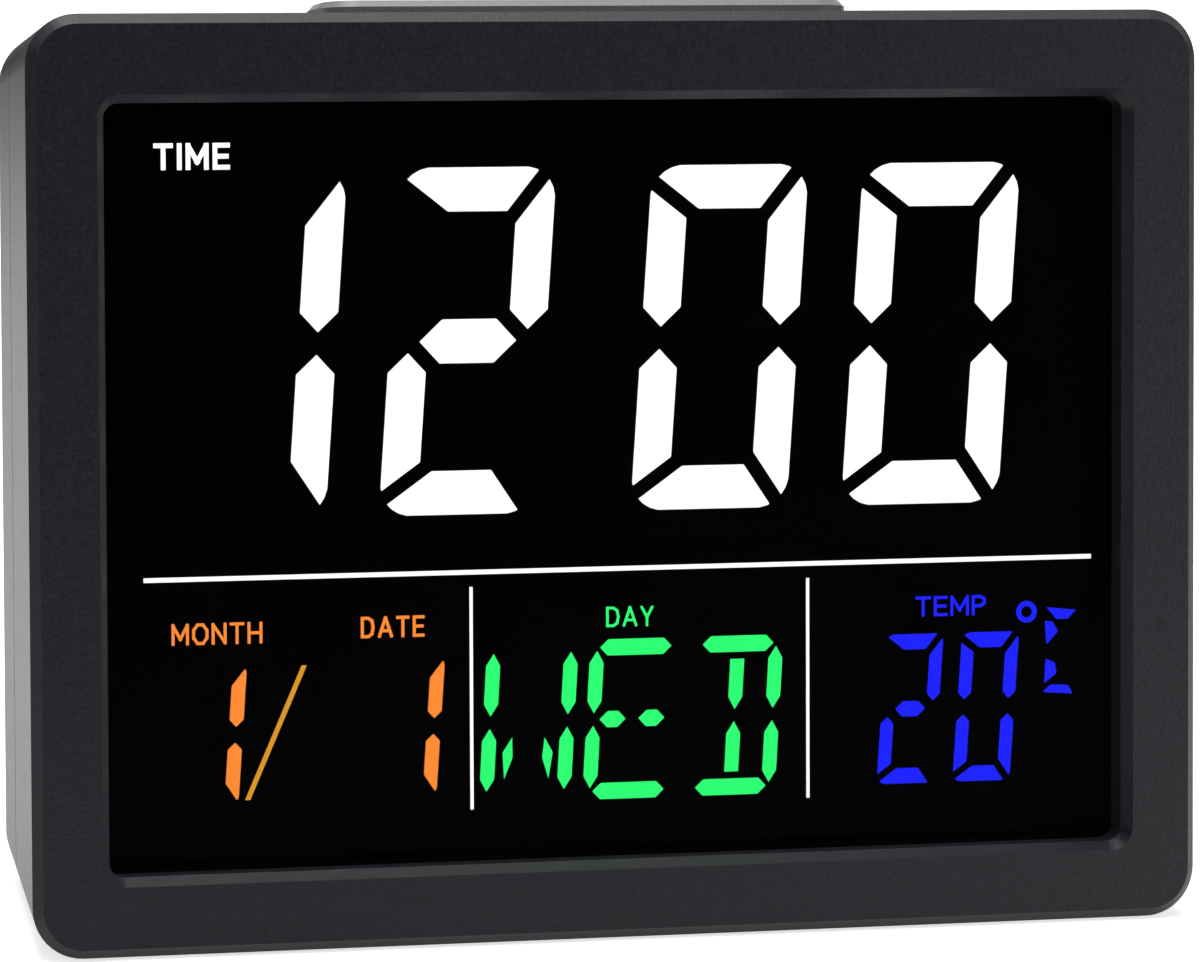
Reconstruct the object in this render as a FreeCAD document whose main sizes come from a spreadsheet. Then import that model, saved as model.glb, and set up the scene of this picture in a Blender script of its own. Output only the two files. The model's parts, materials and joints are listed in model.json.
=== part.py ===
import FreeCAD, Part
import Sketcher
import math
import os
import re

# Day clock for the table: a tapered two-part case that leans back on its own base, a recessed
# display window, a long snooze bar on top, five keys and a battery door at the back.
# Case frame: x to the right, y up the face, z out of the back plane (0) towards the viewer.
# The whole case is then leaned back, so that its sloping base lies flat on z = 0.

# Driving dimensions, in millimetres and degrees
DIMENSIONS = {
    # case
    "face_width": 146.0,
    "face_height": 112.0,
    "case_depth": 40.0,
    "side_taper": 4.2,
    "top_taper": 2.8,
    "base_rise": 5.4,
    "corner_radius": 6.2,
    "wall": 2.2,
    "front_shell_depth": 24.0,
    "edge_chamfer": 1.25,
    "back_edge_chamfer": 1.2,
    "seam_chamfer": 0.2,
    "lip_height": 1.6,
    "lip_thickness": 1.2,
    "lip_clearance": 0.15,
    # display opening
    "rim_side": 8.45,
    "rim_top": 9.6,
    "rim_bottom": 8.6,
    "rim_chamfer_width": 1.05,
    "rim_chamfer_depth": 1.6,
    "opening_radius": 1.8,
    "collar_depth": 5.0,
    "collar_wall": 1.3,
    # display stack
    "stack_gap": 0.1,
    "lens_thickness": 1.5,
    "lens_overlap": 1.2,
    "glass_thickness": 1.1,
    "glass_overlap": 0.9,
    "contact_ledge": 2.4,
    "film_thickness": 0.3,
    "guide_thickness": 3.0,
    "tray_wall": 1.0,
    "tray_floor": 1.2,
    "led_thickness": 1.4,
    "led_length": 3.0,
    "led_pitch": 14.0,
    "led_board_thickness": 0.8,
    "led_board_inset": 2.0,
    "zebra_thickness": 1.7,
    "zebra_length": 96.0,
    # boards and what they carry
    "board_thickness": 1.6,
    "main_board_inset": 23.0,
    "main_board_low_inset": 18.0,
    "standoff_height": 1.7,
    "board_hole_inset": 3.0,
    "standoff_side": 4.8,
    "board_hole_room": 0.15,
    "chip_side": 12.0,
    "chip_thickness": 1.5,
    "chip_x": 8.0,
    "chip_y": 4.0,
    "crystal_radius": 1.5,
    "crystal_length": 8.0,
    "crystal_x": -14.0,
    "crystal_y": 8.0,
    "sensor_width": 4.8,
    "sensor_height": 3.2,
    "sensor_thickness": 1.6,
    "sensor_offset": 5.0,
    "ribbon_width": 12.0,
    "ribbon_inset": 20.0,
    "ribbon_thickness": 0.8,
    "ribbon_drop": 12.0,
    "ribbon_step": 6.0,
    # fasteners
    "case_screw_inset": 16.0,
    "case_screw_low_inset": 19.0,
    "case_screw_radius": 1.45,
    "case_screw_length": 9.5,
    "case_head_radius": 2.8,
    "case_head_height": 2.0,
    "well_floor": 3.5,
    "head_room": 0.3,
    "hole_room": 0.25,
    "well_wall": 1.1,
    "post_side": 6.0,
    "small_screw_radius": 0.95,
    "small_screw_length": 3.2,
    "small_head_radius": 1.5,
    "small_head_height": 1.2,
    "screw_clearance": 0.05,
    "tray_boss_side": 3.6,
    "tray_boss_inset": 26.0,
    "ear_width": 6.0,
    "ear_end": 1.3,
    "loose_gap": 0.3,
    # snooze bar
    "bar_length": 67.0,
    "bar_width": 13.0,
    "bar_depth_place": 22.0,
    "bar_rise": 2.5,
    "bar_flange": 1.3,
    "bar_flange_thickness": 1.2,
    "bar_wall": 1.6,
    "bar_gap": 0.3,
    "bar_seat_gap": 0.15,
    "bar_corner_radius": 4.5,
    "bar_edge_chamfer": 0.8,
    "bar_post_side": 5.0,
    "bar_travel": 1.0,
    # keys
    "key_radius": 4.0,
    "key_gap": 0.25,
    "key_rise": 1.2,
    "key_pitch": 19.0,
    "key_row_inset": 25.0,
    "key_flange": 1.1,
    "key_flange_thickness": 1.0,
    "key_edge": 0.4,
    "key_ear_width": 3.2,
    "key_stem_side": 3.4,
    "key_travel": 0.6,
    "key_board_place": 9.7,
    "key_board_end": 10.0,
    "key_board_height": 16.0,
    "switch_side": 6.0,
    "switch_height": 3.0,
    "switch_bore_depth": 2.25,
    "plunger_side": 3.2,
    "plunger_gap": 0.1,
    # snooze switch shelf
    "shelf_spacing": 28.0,
    "shelf_thickness": 1.6,
    "shelf_height": 2.2,
    "snooze_board_length": 34.0,
    "snooze_board_width": 8.0,
    # battery bay, for three AAA cells
    "cell_radius": 5.25,
    "cell_length": 44.5,
    "cell_tip_radius": 1.9,
    "cell_tip_height": 0.8,
    "cell_gap": 0.4,
    "cell_count": 3,
    "bay_inset": 34.0,
    "bay_end_room": 2.2,
    "bay_wall": 1.5,
    "door_thickness": 1.8,
    "door_gap": 0.2,
    "door_radius": 2.0,
    "door_tab_width": 6.0,
    "door_tab_thickness": 1.0,
    "door_tab_reach": 1.6,
    "latch_slit": 0.8,
    "latch_length": 6.0,
    "finger_dip_length": 10.0,
    "finger_dip_width": 2.8,
    "finger_dip_depth": 0.6,
    "contact_thickness": 0.4,
    "contact_height": 7.4,
    "leaf_flat": 1.2,
    "leaf_tip_gap": 1.0,
    "leaf_tip_drop": 0.8,
    # power socket and buzzer
    "socket_inset": 27.0,
    "socket_low_inset": 36.0,
    "socket_width": 9.0,
    "socket_height": 3.3,
    "socket_wall": 0.35,
    "socket_setback": 0.8,
    "socket_gap": 0.25,
    "socket_mouth": 6.2,
    "tongue_width": 6.6,
    "tongue_thickness": 0.7,
    "tongue_setback": 1.0,
    "power_board_width": 17.0,
    "power_board_height": 15.0,
    "peg_side": 3.6,
    "end_flat": 0.2,
    "buzzer_radius": 8.5,
    "buzzer_height": 4.5,
    "buzzer_fence": 1.2,
    "sound_slot_width": 1.3,
    "sound_slot_length": 13.0,
    "sound_slot_pitch": 2.8,
}

# Counts, and how many sides the small round pieces inside have
LAMPS = 6
SOUND_SLOTS = 5
FEW_SIDES = 10

doc = FreeCAD.newDocument("day_clock")
sheet = doc.addObject("Spreadsheet::Sheet", "Sheet")
for row, (alias, size) in enumerate(DIMENSIONS.items(), start=1):
    sheet.set(f"A{row}", alias)
    sheet.set(f"B{row}", str(size))
    sheet.setAlias(f"B{row}", alias)
doc.recompute()

WORD = re.compile(r"[a-z][a-z_]*")


def bind(text):
    """Write a plain formula with the sheet's name before each alias."""
    return WORD.sub(lambda m: "Sheet." + m.group(0) if m.group(0) in DIMENSIONS else m.group(0), str(text))


def size(text):
    """The formula's value now."""
    return float(sheet.evalExpression(bind(text)))


def drive(thing, prop, text):
    thing.setExpression(prop, bind(text))


# Shapes that several sub-parts share, as formulas

DEPTH_LEFT = "(case_depth - ({z})) / case_depth"
SEAM = "(case_depth - front_shell_depth)"
CAVITY_FRONT = "(case_depth - wall)"
LENS_FRONT = "(case_depth - collar_depth)"
LENS_BACK = f"({LENS_FRONT} - lens_thickness)"
GLASS_FRONT = f"({LENS_BACK} - 3 * stack_gap)"
GLASS_MIDDLE = f"({GLASS_FRONT} - glass_thickness)"
REAR_GLASS_BACK = f"({GLASS_MIDDLE} - stack_gap - glass_thickness)"
FILM_BACK = f"({REAR_GLASS_BACK} - stack_gap - film_thickness)"
GUIDE_BACK = f"({FILM_BACK} - stack_gap - guide_thickness)"
REFLECTOR_BACK = f"({GUIDE_BACK} - stack_gap - film_thickness)"
TRAY_FLOOR_FRONT = f"({REFLECTOR_BACK} - stack_gap)"
TRAY_BACK = f"({TRAY_FLOOR_FRONT} - tray_floor)"
BOARD_FRONT = f"({TRAY_BACK} - standoff_height)"
BOARD_BACK = f"({BOARD_FRONT} - board_thickness)"

# The opening's clear size, inside its chamfer
OPEN_HALF = "(face_width / 2 - rim_side - rim_chamfer_width)"
OPEN_TOP = "(face_height / 2 - rim_top - rim_chamfer_width)"
OPEN_BOTTOM = "(face_height / 2 - rim_bottom - rim_chamfer_width)"
GLASS_HALF = f"({OPEN_HALF} + glass_overlap)"
GLASS_TOP = f"({OPEN_TOP} + glass_overlap + zebra_thickness / 2)"
GLASS_BOTTOM = f"({OPEN_BOTTOM} + glass_overlap)"
REAR_GLASS_TOP = f"({GLASS_TOP} - contact_ledge)"
TRAY_INSIDE = f"({GLASS_HALF} + 2 * stack_gap)"
TRAY_TOP = f"({GLASS_TOP} + 2 * stack_gap)"
TRAY_BOTTOM = f"({GLASS_BOTTOM} + 2 * stack_gap)"

BACK_INSIDE = "wall"
SWITCH_TOP = "(key_board_place - switch_height)"
STEM_TIP = f"({SWITCH_TOP} - key_travel - 2 * plunger_gap)"

# Places measured in from the face's edges
CASE_SCREW_X = "(face_width / 2 - case_screw_inset)"
CASE_SCREW_TOP = "(face_height / 2 - case_screw_inset)"
CASE_SCREW_LOW = "(face_height / 2 - case_screw_low_inset)"
WELL_DEPTH = f"({SEAM} - well_floor)"
TRAY_BOSS_Y = "(face_height / 2 - tray_boss_inset)"
MAIN_BOARD_HALF = "(face_width / 2 - main_board_inset)"
MAIN_BOARD_LOW = "(face_height / 2 - main_board_low_inset)"
KEY_ROW = "(face_height / 2 - key_row_inset)"
KEY_BOARD_HALF = "(2 * key_pitch + key_board_end)"
BAY_Y = "(bay_inset - face_height / 2)"
SOCKET_X = "(face_width / 2 - socket_inset)"
SOCKET_Y = "(socket_low_inset - face_height / 2)"

BAR_MIDDLE = "(case_depth - bar_depth_place)"
LEAN = math.atan(size("base_rise / case_depth"))


def outline(z, inset="0"):
    """Half width, top, bottom and radius of the tapered case at height z, drawn in by inset."""
    left = DEPTH_LEFT.format(z=z)
    return (
        f"(face_width / 2 - side_taper * {left} - ({inset}))",
        f"(face_height / 2 - top_taper * {left} - ({inset}))",
        f"(face_height / 2 - base_rise * {left} - ({inset}))",
        f"(corner_radius - ({inset}))",
    )


TOP_WALL = outline(BAR_MIDDLE)[1]
TOP_WALL_INSIDE = outline(BAR_MIDDLE, "wall")[1]
FLANGE_REACH = "(bar_width / 2 + bar_flange)"
FLANGE_LOW = f"({TOP_WALL_INSIDE} - bar_seat_gap - {FLANGE_REACH} * top_taper / case_depth)"
FLANGE_BOTTOM = f"({FLANGE_LOW} - bar_flange_thickness)"
SNOOZE_SWITCH_TOP = f"({FLANGE_BOTTOM} - bar_travel - bar_gap - 2 * plunger_gap)"
SNOOZE_BOARD_TOP = f"({SNOOZE_SWITCH_TOP} - switch_height)"
SHELF_TOP = f"({SNOOZE_BOARD_TOP} - board_thickness)"

BAY_HALF_LENGTH = "(cell_length / 2 + bay_end_room)"
BAY_HALF_HEIGHT = "(cell_count * cell_radius + (cell_count + 1) * cell_gap / 2)"
CELL_PLACE = "(door_thickness + cell_gap + cell_radius)"
BAY_FLOOR = f"({CELL_PLACE} + cell_radius + cell_gap)"


def leaned():
    """The case frame stood on its base, with the bounding box centred on the origin."""
    lowest_front = size("face_height / 2 - edge_chamfer") * math.sin(LEAN)
    front = lowest_front + size("case_depth") * math.cos(LEAN)
    back = size("face_height / 2 - top_taper - back_edge_chamfer") * math.sin(LEAN)
    base = size("face_height / 2") * math.cos(LEAN) - size("case_depth") * math.sin(LEAN)
    turn = FreeCAD.Rotation(FreeCAD.Vector(1, 0, 0), 90 - math.degrees(LEAN))
    return FreeCAD.Placement(FreeCAD.Vector(0, (front - back) / 2, base), turn)


STAND = leaned()
nodes = []


def keep(thing, label):
    """Name a sub-part and stand it in the leaned case frame."""
    thing.Label = label
    thing.Placement = STAND
    nodes.append(thing)
    return thing


# Sketches and features

def new_body(label):
    return keep(doc.addObject("PartDesign::Body", label), label)


def sketch_on(body, name, plane="XY_Plane", at=("0", "0", "0")):
    """A sketch on one of the body's planes, shifted by three formulas in the sketch's own axes."""
    sketch = body.newObject("Sketcher::SketchObject", name)
    flat = next(f for f in body.Origin.OriginFeatures if f.Role == plane)
    sketch.AttachmentSupport = [(flat, "")]
    sketch.MapMode = "FlatFace"
    for axis, text in zip("xyz", at):
        drive(sketch, f"AttachmentOffset.Base.{axis}", text)
    return sketch


def dimension(sketch, kind, where, text):
    """A constraint whose value follows a formula."""
    index = sketch.addConstraint(Sketcher.Constraint(kind, *where, size(text)))
    drive(sketch, f"Constraints[{index}]", text)


def locate(sketch, item, point, x=None, y=None):
    """Hold a point at signed distances from the sketch's origin."""
    for kind, text in (("DistanceX", x), ("DistanceY", y)):
        if text is None:
            continue
        if size(text) >= 0:
            dimension(sketch, kind, (-1, 1, item, point), text)
        else:
            dimension(sketch, kind, (item, point, -1, 1), f"-({text})")


def circle(sketch, radius, x="0", y="0"):
    middle = FreeCAD.Vector(size(x), size(y), 0)
    item = sketch.addGeometry(Part.Circle(middle, FreeCAD.Vector(0, 0, 1), size(radius)))
    dimension(sketch, "Radius", (item,), radius)
    locate(sketch, item, 3, x, y)


def polygon(sketch, corners):
    """A closed outline through corners given as pairs of formulas."""
    points = [FreeCAD.Vector(size(x), size(y), 0) for x, y in corners]
    count = len(points)
    first = sketch.GeometryCount
    for i in range(count):
        sketch.addGeometry(Part.LineSegment(points[i], points[(i + 1) % count]))
    for i in range(count):
        sketch.addConstraint(Sketcher.Constraint("Coincident", first + i, 2, first + (i + 1) % count, 1))
    for i, (x, y) in enumerate(corners):
        locate(sketch, first + i, 1, x, y)


def rectangle(sketch, width, height, x="0", y="0"):
    left = f"({x}) - ({width}) / 2"
    right = f"({x}) + ({width}) / 2"
    low = f"({y}) - ({height}) / 2"
    high = f"({y}) + ({height}) / 2"
    polygon(sketch, [(left, low), (right, low), (right, high), (left, high)])


def rounded(sketch, left, right, low, high, radius):
    """A rectangle with round corners between four signed formulas."""
    x0, x1, y0, y1, r = (size(text) for text in (left, right, low, high, radius))
    first = sketch.GeometryCount
    up = FreeCAD.Vector(0, 0, 1)
    sides = [((x0 + r, y0), (x1 - r, y0)), ((x1, y0 + r), (x1, y1 - r)),
             ((x1 - r, y1), (x0 + r, y1)), ((x0, y1 - r), (x0, y0 + r))]
    turns = [(x1 - r, y0 + r), (x1 - r, y1 - r), (x0 + r, y1 - r), (x0 + r, y0 + r)]
    for i in range(4):
        start, end = (FreeCAD.Vector(*point, 0) for point in sides[i])
        sketch.addGeometry(Part.LineSegment(start, end))
        around = Part.Circle(FreeCAD.Vector(*turns[i], 0), up, r)
        angle = (i - 1) * math.pi / 2
        sketch.addGeometry(Part.ArcOfCircle(around, angle, angle + math.pi / 2))
    for i in range(4):
        line = first + 2 * i
        following = first + (2 * i + 2) % 8
        sketch.addConstraint(Sketcher.Constraint("Tangent", line, 2, line + 1, 1))
        sketch.addConstraint(Sketcher.Constraint("Tangent", line + 1, 2, following, 1))
        sketch.addConstraint(Sketcher.Constraint("Vertical" if i % 2 else "Horizontal", line))
        if i:
            sketch.addConstraint(Sketcher.Constraint("Equal", first + 1, line + 1))
    dimension(sketch, "Radius", (first + 1,), radius)
    locate(sketch, first, 1, y=low)
    locate(sketch, first + 2, 1, x=right)
    locate(sketch, first + 4, 1, y=high)
    locate(sketch, first + 6, 1, x=left)


def case_outline(body, name, z, inset="0"):
    half, top, low, radius = outline(z, inset)
    sketch = sketch_on(body, name, at=("0", "0", z))
    rounded(sketch, f"-{half}", half, f"-{low}", top, radius)
    return sketch


def opening_outline(body, name, z, grow="0"):
    """The display opening's outline at height z, larger all round by grow."""
    sketch = sketch_on(body, name, at=("0", "0", z))
    half = f"({OPEN_HALF} + ({grow}))"
    rounded(sketch, f"-{half}", half, f"-({OPEN_BOTTOM} + ({grow}))",
            f"({OPEN_TOP} + ({grow}))", f"(opening_radius + ({grow}))")
    return sketch


def feature(body, kind, name, profile):
    made = body.newObject(f"PartDesign::{kind}", name)
    made.Profile = profile
    profile.Visibility = False
    return made


def pad(body, sketch, length, name="pad", down=False, both=False):
    made = feature(body, "Pad", name, sketch)
    made.Reversed = down
    made.Midplane = both
    drive(made, "Length", length)
    return made


def pocket(body, sketch, length, name="pocket", up=True, both=False):
    """Cut along the sketch's normal, or against it."""
    made = feature(body, "Pocket", name, sketch)
    made.Reversed = up
    made.Midplane = both
    drive(made, "Length", length)
    return made


def loft(body, kind, name, first, last):
    made = feature(body, kind, name, first)
    made.Sections = [last]
    made.Ruled = True
    return made


def revolve(body, sketch, name="turned"):
    """Turn an outline about the sketch's own upright axis."""
    made = feature(body, "Revolution", name, sketch)
    made.ReferenceAxis = (sketch, ["V_Axis"])
    made.Angle = 360
    return made


def dressed(body, kind, prop, base, length, chosen, name):
    """Round or chamfer the edges of a feature that the test chooses."""
    doc.recompute()
    edges = [f"Edge{i}" for i, edge in enumerate(base.Shape.Edges, start=1) if chosen(edge.BoundBox)]
    made = body.newObject(f"PartDesign::{kind}", name)
    made.Base = (base, edges)
    drive(made, prop, length)
    return made


def fillet(body, base, radius, chosen, name):
    return dressed(body, "Fillet", "Radius", base, radius, chosen, name)


def bevel(body, base, length, chosen, name):
    return dressed(body, "Chamfer", "Size", base, length, chosen, name)


def box(x0, x1, y0, y1, z0, z1, name="block"):
    """A plain block between six formulas, before the case is leaned."""
    block = doc.addObject("Part::Box", name)
    for prop, low, high in (("Length", x0, x1), ("Width", y0, y1), ("Height", z0, z1)):
        drive(block, prop, f"({high}) - ({low})")
    for axis, text in zip("xyz", (x0, y0, z0)):
        drive(block, f"Placement.Base.{axis}", text)
    return block


def rod(radius, length, x, y, z, along="z", name="rod", sides=0):
    """A cylinder, or a prism where sides are given, that starts at a point and runs along z or x."""
    made = doc.addObject("Part::Prism" if sides else "Part::Cylinder", name)
    made.Placement.Rotation = FreeCAD.Rotation(FreeCAD.Vector(0, 1, 0), 90 if along == "x" else 0)
    if sides:
        made.Polygon = sides
    drive(made, "Circumradius" if sides else "Radius", radius)
    drive(made, "Height", length)
    for axis, text in zip("xyz", (x, y, z)):
        drive(made, f"Placement.Base.{axis}", text)
    return made


def fused(shapes, name="joined"):
    made = doc.addObject("Part::MultiFuse", name)
    made.Shapes = shapes
    return made


def group(label, shapes):
    """A node of one or more separate solids."""
    made = doc.addObject("Part::Compound", label)
    made.Links = shapes
    return keep(made, label)


CORNERS = [(-1, 1), (1, 1), (1, -1), (-1, -1)]


def case_screw_places():
    """The four case screws, two high and two low."""
    heights = {1: CASE_SCREW_TOP, -1: f"-{CASE_SCREW_LOW}"}
    return [(f"{sx} * {CASE_SCREW_X}", heights[sy]) for sx, sy in CORNERS]


def board_screw_places():
    half = f"({MAIN_BOARD_HALF} - board_hole_inset)"
    tall = f"({MAIN_BOARD_LOW} - board_hole_inset)"
    return [(f"{sx} * {half}", f"{sy} * {tall}") for sx, sy in CORNERS]


HEAD_BACK = f"({TRAY_BACK} - small_head_height)"
TRAY_BOSS_X = f"({outline(HEAD_BACK, 'wall')[0]} - small_head_radius - 3 * screw_clearance)"


def tray_screw_places():
    return [(f"{sx} * {TRAY_BOSS_X}", f"{sy} * {TRAY_BOSS_Y}") for sx, sy in CORNERS]


KEYS = ["mode", "set", "up", "down", "alarm"]


def key_place(index):
    """Keys run from left to right as seen from the front."""
    return f"({index - (len(KEYS) - 1) / 2}) * key_pitch"


KEY_PEG_X = f"({KEY_BOARD_HALF} - peg_side * 3 / 4)"
POWER_PEG = "(power_board_width / 2 - peg_side / 2)"
PILOT_SIDE = "2 * (small_screw_radius + screw_clearance)"


def peg_places():
    """Pegs of the back shell that carry the key board and the power board."""
    keys = [(f"{sx} * {KEY_PEG_X}", KEY_ROW) for sx in (-1, 1)]
    power = [(f"{SOCKET_X} + {sx} * {POWER_PEG}", SOCKET_Y) for sx in (-1, 1)]
    return keys + power


# Case

def bar_slot(body):
    """The cut for the snooze bar, through the top wall on both sides of the seam."""
    reach = f"({FLANGE_BOTTOM})"
    slot = sketch_on(body, "bar_slot", "XZ_Plane", ("0", "0", f"-{reach}"))
    half = "(bar_length / 2 + bar_gap)"
    rounded(slot, f"-{half}", half, f"{BAR_MIDDLE} - bar_width / 2 - bar_gap",
            f"{BAR_MIDDLE} + bar_width / 2 + bar_gap", "bar_corner_radius + bar_gap")
    pocket(body, slot, f"face_height / 2 - {reach}", "bar_slot_cut", up=False)


def case_block(body, low, high):
    """The solid wedge of the case between two heights, with flat sides and round corners."""
    (low_half, low_top, low_base, _), (high_half, high_top, high_base, _) = outline(low), outline(high)
    side = sketch_on(body, "side_view", "YZ_Plane")
    polygon(side, [(f"-{low_base}", low), (low_top, low), (high_top, high), (f"-{high_base}", high)])
    pad(body, side, "face_width", "wedge", both=True)
    for sx in (-1, 1):
        plan = sketch_on(body, "plan_view", "XZ_Plane")
        polygon(plan, [(f"{sx} * {low_half}", low), (f"{sx} * face_width", low),
                       (f"{sx} * face_width", high), (f"{sx} * {high_half}", high)])
        trimmed = pocket(body, plan, "2 * face_height", "side_cut", both=True)
    tall = size(f"{high} - {low}")
    rounded_block = fillet(body, trimmed, "corner_radius", lambda b: b.ZLength > tall * 0.9, "corners")
    return bevel(body, rounded_block, "seam_chamfer", flat_at(SEAM), "seam_groove")


def flat_at(z):
    """A test for the edges that lie in the plane at height z."""
    level = size(z)
    return lambda b: abs(b.ZMin - level) + abs(b.ZMax - level) < 0.01


def front_shell():
    """Front half of the case: outer chamfer, display opening with its collar, and bosses for the tray."""
    body = new_body("front_shell")
    bevel(body, case_block(body, SEAM, "case_depth"), "edge_chamfer", flat_at("case_depth"), "face_edge")
    loft(body, "SubtractiveLoft", "cavity", case_outline(body, "cavity_mouth", SEAM, "wall"),
         case_outline(body, "cavity_end", CAVITY_FRONT, "wall"))
    collar = opening_outline(body, "collar", LENS_FRONT, "collar_wall")
    pad(body, collar, "collar_depth - wall / 2", "collar_block")
    bosses = sketch_on(body, "tray_bosses", at=("0", "0", TRAY_FLOOR_FRONT))
    for x, y in tray_screw_places():
        side = 1 if size(x) > 0 else -1
        rectangle(bosses, "tray_boss_side * 3 / 2", "tray_boss_side", f"{x} + {side} * tray_boss_side / 4", y)
    pad(body, bosses, f"{CAVITY_FRONT} - {TRAY_FLOOR_FRONT} + wall / 2", "boss_blocks")
    pilots = sketch_on(body, "boss_pilots", at=("0", "0", TRAY_FLOOR_FRONT))
    for x, y in tray_screw_places():
        rectangle(pilots, PILOT_SIDE, PILOT_SIDE, x, y)
    pocket(body, pilots, "small_screw_length", "boss_pilot_holes")
    opening = opening_outline(body, "opening", LENS_FRONT)
    pocket(body, opening, "collar_depth", "opening_cut")
    loft(body, "SubtractiveLoft", "opening_chamfer",
         opening_outline(body, "rim_inner", "case_depth - rim_chamfer_depth"),
         opening_outline(body, "rim_outer", "case_depth", "rim_chamfer_width"))
    bar_slot(body)


def rear_shell():
    """Rear half: lip, screw wells, battery tub, keys' holes, socket hole, buzzer fence and shelves."""
    body = new_body("rear_shell")
    bevel(body, case_block(body, "0", SEAM), "back_edge_chamfer", flat_at("0"), "back_edge")
    lip_inset = "(wall + lip_clearance)"
    lip_top = f"({SEAM} + lip_height)"
    loft(body, "AdditiveLoft", "lip_block", case_outline(body, "lip_root", SEAM, lip_inset),
         case_outline(body, "lip_end", lip_top, lip_inset))
    lip_start = f"({SEAM} - 2 * lip_height)"
    loft(body, "SubtractiveLoft", "cavity", case_outline(body, "cavity_floor", BACK_INSIDE, "wall"),
         case_outline(body, "cavity_mouth", lip_start, "wall"))
    inner = f"({lip_inset} + lip_thickness)"
    loft(body, "SubtractiveLoft", "lip_bore", case_outline(body, "lip_bore_start", lip_start, inner),
         case_outline(body, "lip_bore_end", lip_top, inner))
    inside = "wall / 2"
    well_side = "2 * (case_head_radius + head_room + well_wall)"
    fence_side = "2 * (buzzer_radius + loose_gap + buzzer_fence)"
    ribs = [
        ("wells", [("rectangle", well_side, well_side, x, y) for x, y in case_screw_places()], SEAM),
        ("pegs", [("rectangle", "peg_side", "peg_side", x, y) for x, y in peg_places()], "key_board_place"),
        ("buzzer_fence", [("rectangle", fence_side, fence_side, f"-{SOCKET_X}", SOCKET_Y)],
         "wall + buzzer_height / 2"),
        ("tub", [("rectangle", f"2 * ({BAY_HALF_LENGTH} + bay_wall)", f"2 * ({BAY_HALF_HEIGHT} + bay_wall)",
                  "0", BAY_Y)], f"{BAY_FLOOR} + bay_wall"),
        ("shelves", [("rectangle", "shelf_thickness", "shelf_height", f"{sx} * shelf_spacing / 2",
                      f"{SHELF_TOP} - shelf_height / 2") for sx in (-1, 1)],
         f"{BAR_MIDDLE} + snooze_board_width / 2"),
    ]
    shapes = {"circle": circle, "rectangle": rectangle}
    for name, items, top in ribs:
        sketch = sketch_on(body, name, at=("0", "0", inside))
        for kind, *sizes in items:
            shapes[kind](sketch, *sizes)
        pad(body, sketch, f"{top} - {inside}", f"{name}_pad")
    cuts = [
        ("well_bores", "0", WELL_DEPTH,
         [("circle", "case_head_radius + head_room", x, y) for x, y in case_screw_places()]),
        ("screw_holes", WELL_DEPTH, "well_floor",
         [("circle", "case_screw_radius + hole_room", x, y) for x, y in case_screw_places()]),
        ("peg_pilots", "key_board_place - small_screw_length", "small_screw_length",
         [("rectangle", PILOT_SIDE, PILOT_SIDE, x, y) for x, y in peg_places()]),
        ("buzzer_seat", "wall", "buzzer_height",
         [("circle", "buzzer_radius + loose_gap", f"-{SOCKET_X}", SOCKET_Y)]),
        ("bay", "0", BAY_FLOOR, [("rectangle", f"2 * {BAY_HALF_LENGTH}", f"2 * {BAY_HALF_HEIGHT}", "0", BAY_Y)]),
        ("key_holes", "0", "wall",
         [("circle", "key_radius + key_gap", key_place(i), KEY_ROW) for i in range(len(KEYS))]),
    ]
    for name, start, depth, items in cuts:
        sketch = sketch_on(body, name, at=("0", "0", start))
        for kind, *sizes in items:
            shapes[kind](sketch, *sizes)
        pocket(body, sketch, depth, f"{name}_cut")
    door = sketch_on(body, "door_seat", at=("0", BAY_Y, "0"))
    half = f"({BAY_HALF_LENGTH} + bay_wall + door_gap)"
    tall = f"({BAY_HALF_HEIGHT} + bay_wall + door_gap)"
    rounded(door, f"-{half}", half, f"-{tall}", tall, "door_radius + door_gap")
    pocket(body, door, "door_thickness", "door_seat_cut")
    hole = sketch_on(body, "socket_hole", at=(SOCKET_X, SOCKET_Y, "0"))
    half = "(socket_width / 2 + socket_gap)"
    tall = "(socket_height / 2 + socket_gap)"
    rounded(hole, f"-{half}", half, f"-{tall}", tall, f"{tall} - end_flat / 2")
    pocket(body, hole, "wall", "socket_hole_cut")
    slot = sketch_on(body, "sound_slot", at=(f"-{SOCKET_X}", SOCKET_Y, "0"))
    span = f"{SOUND_SLOTS - 1} * sound_slot_pitch"
    rectangle(slot, "sound_slot_width", "sound_slot_length", f"-{span} / 2")
    cut = pocket(body, slot, "wall", "sound_slot_cut")
    slots = body.newObject("PartDesign::LinearPattern", "sound_slots")
    slots.Originals = [cut]
    slots.Direction = (slot, ["H_Axis"])
    slots.Occurrences = SOUND_SLOTS
    drive(slots, "Length", span)
    body.Tip = slots
    relief = sketch_on(body, "flange_relief", "YZ_Plane")
    relief_low = f"{FLANGE_BOTTOM} - bar_travel - bar_gap"
    relief_back = f"({BAR_MIDDLE} - {FLANGE_REACH} - bar_gap)"
    polygon(relief, [(relief_low, relief_back), (outline(relief_back, "wall")[1], relief_back),
                     (outline(lip_top, "wall")[1], lip_top), (relief_low, lip_top)])
    pocket(body, relief, "bar_length + 4 * bar_gap", "flange_relief_cut", both=True)
    bar_slot(body)


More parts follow.
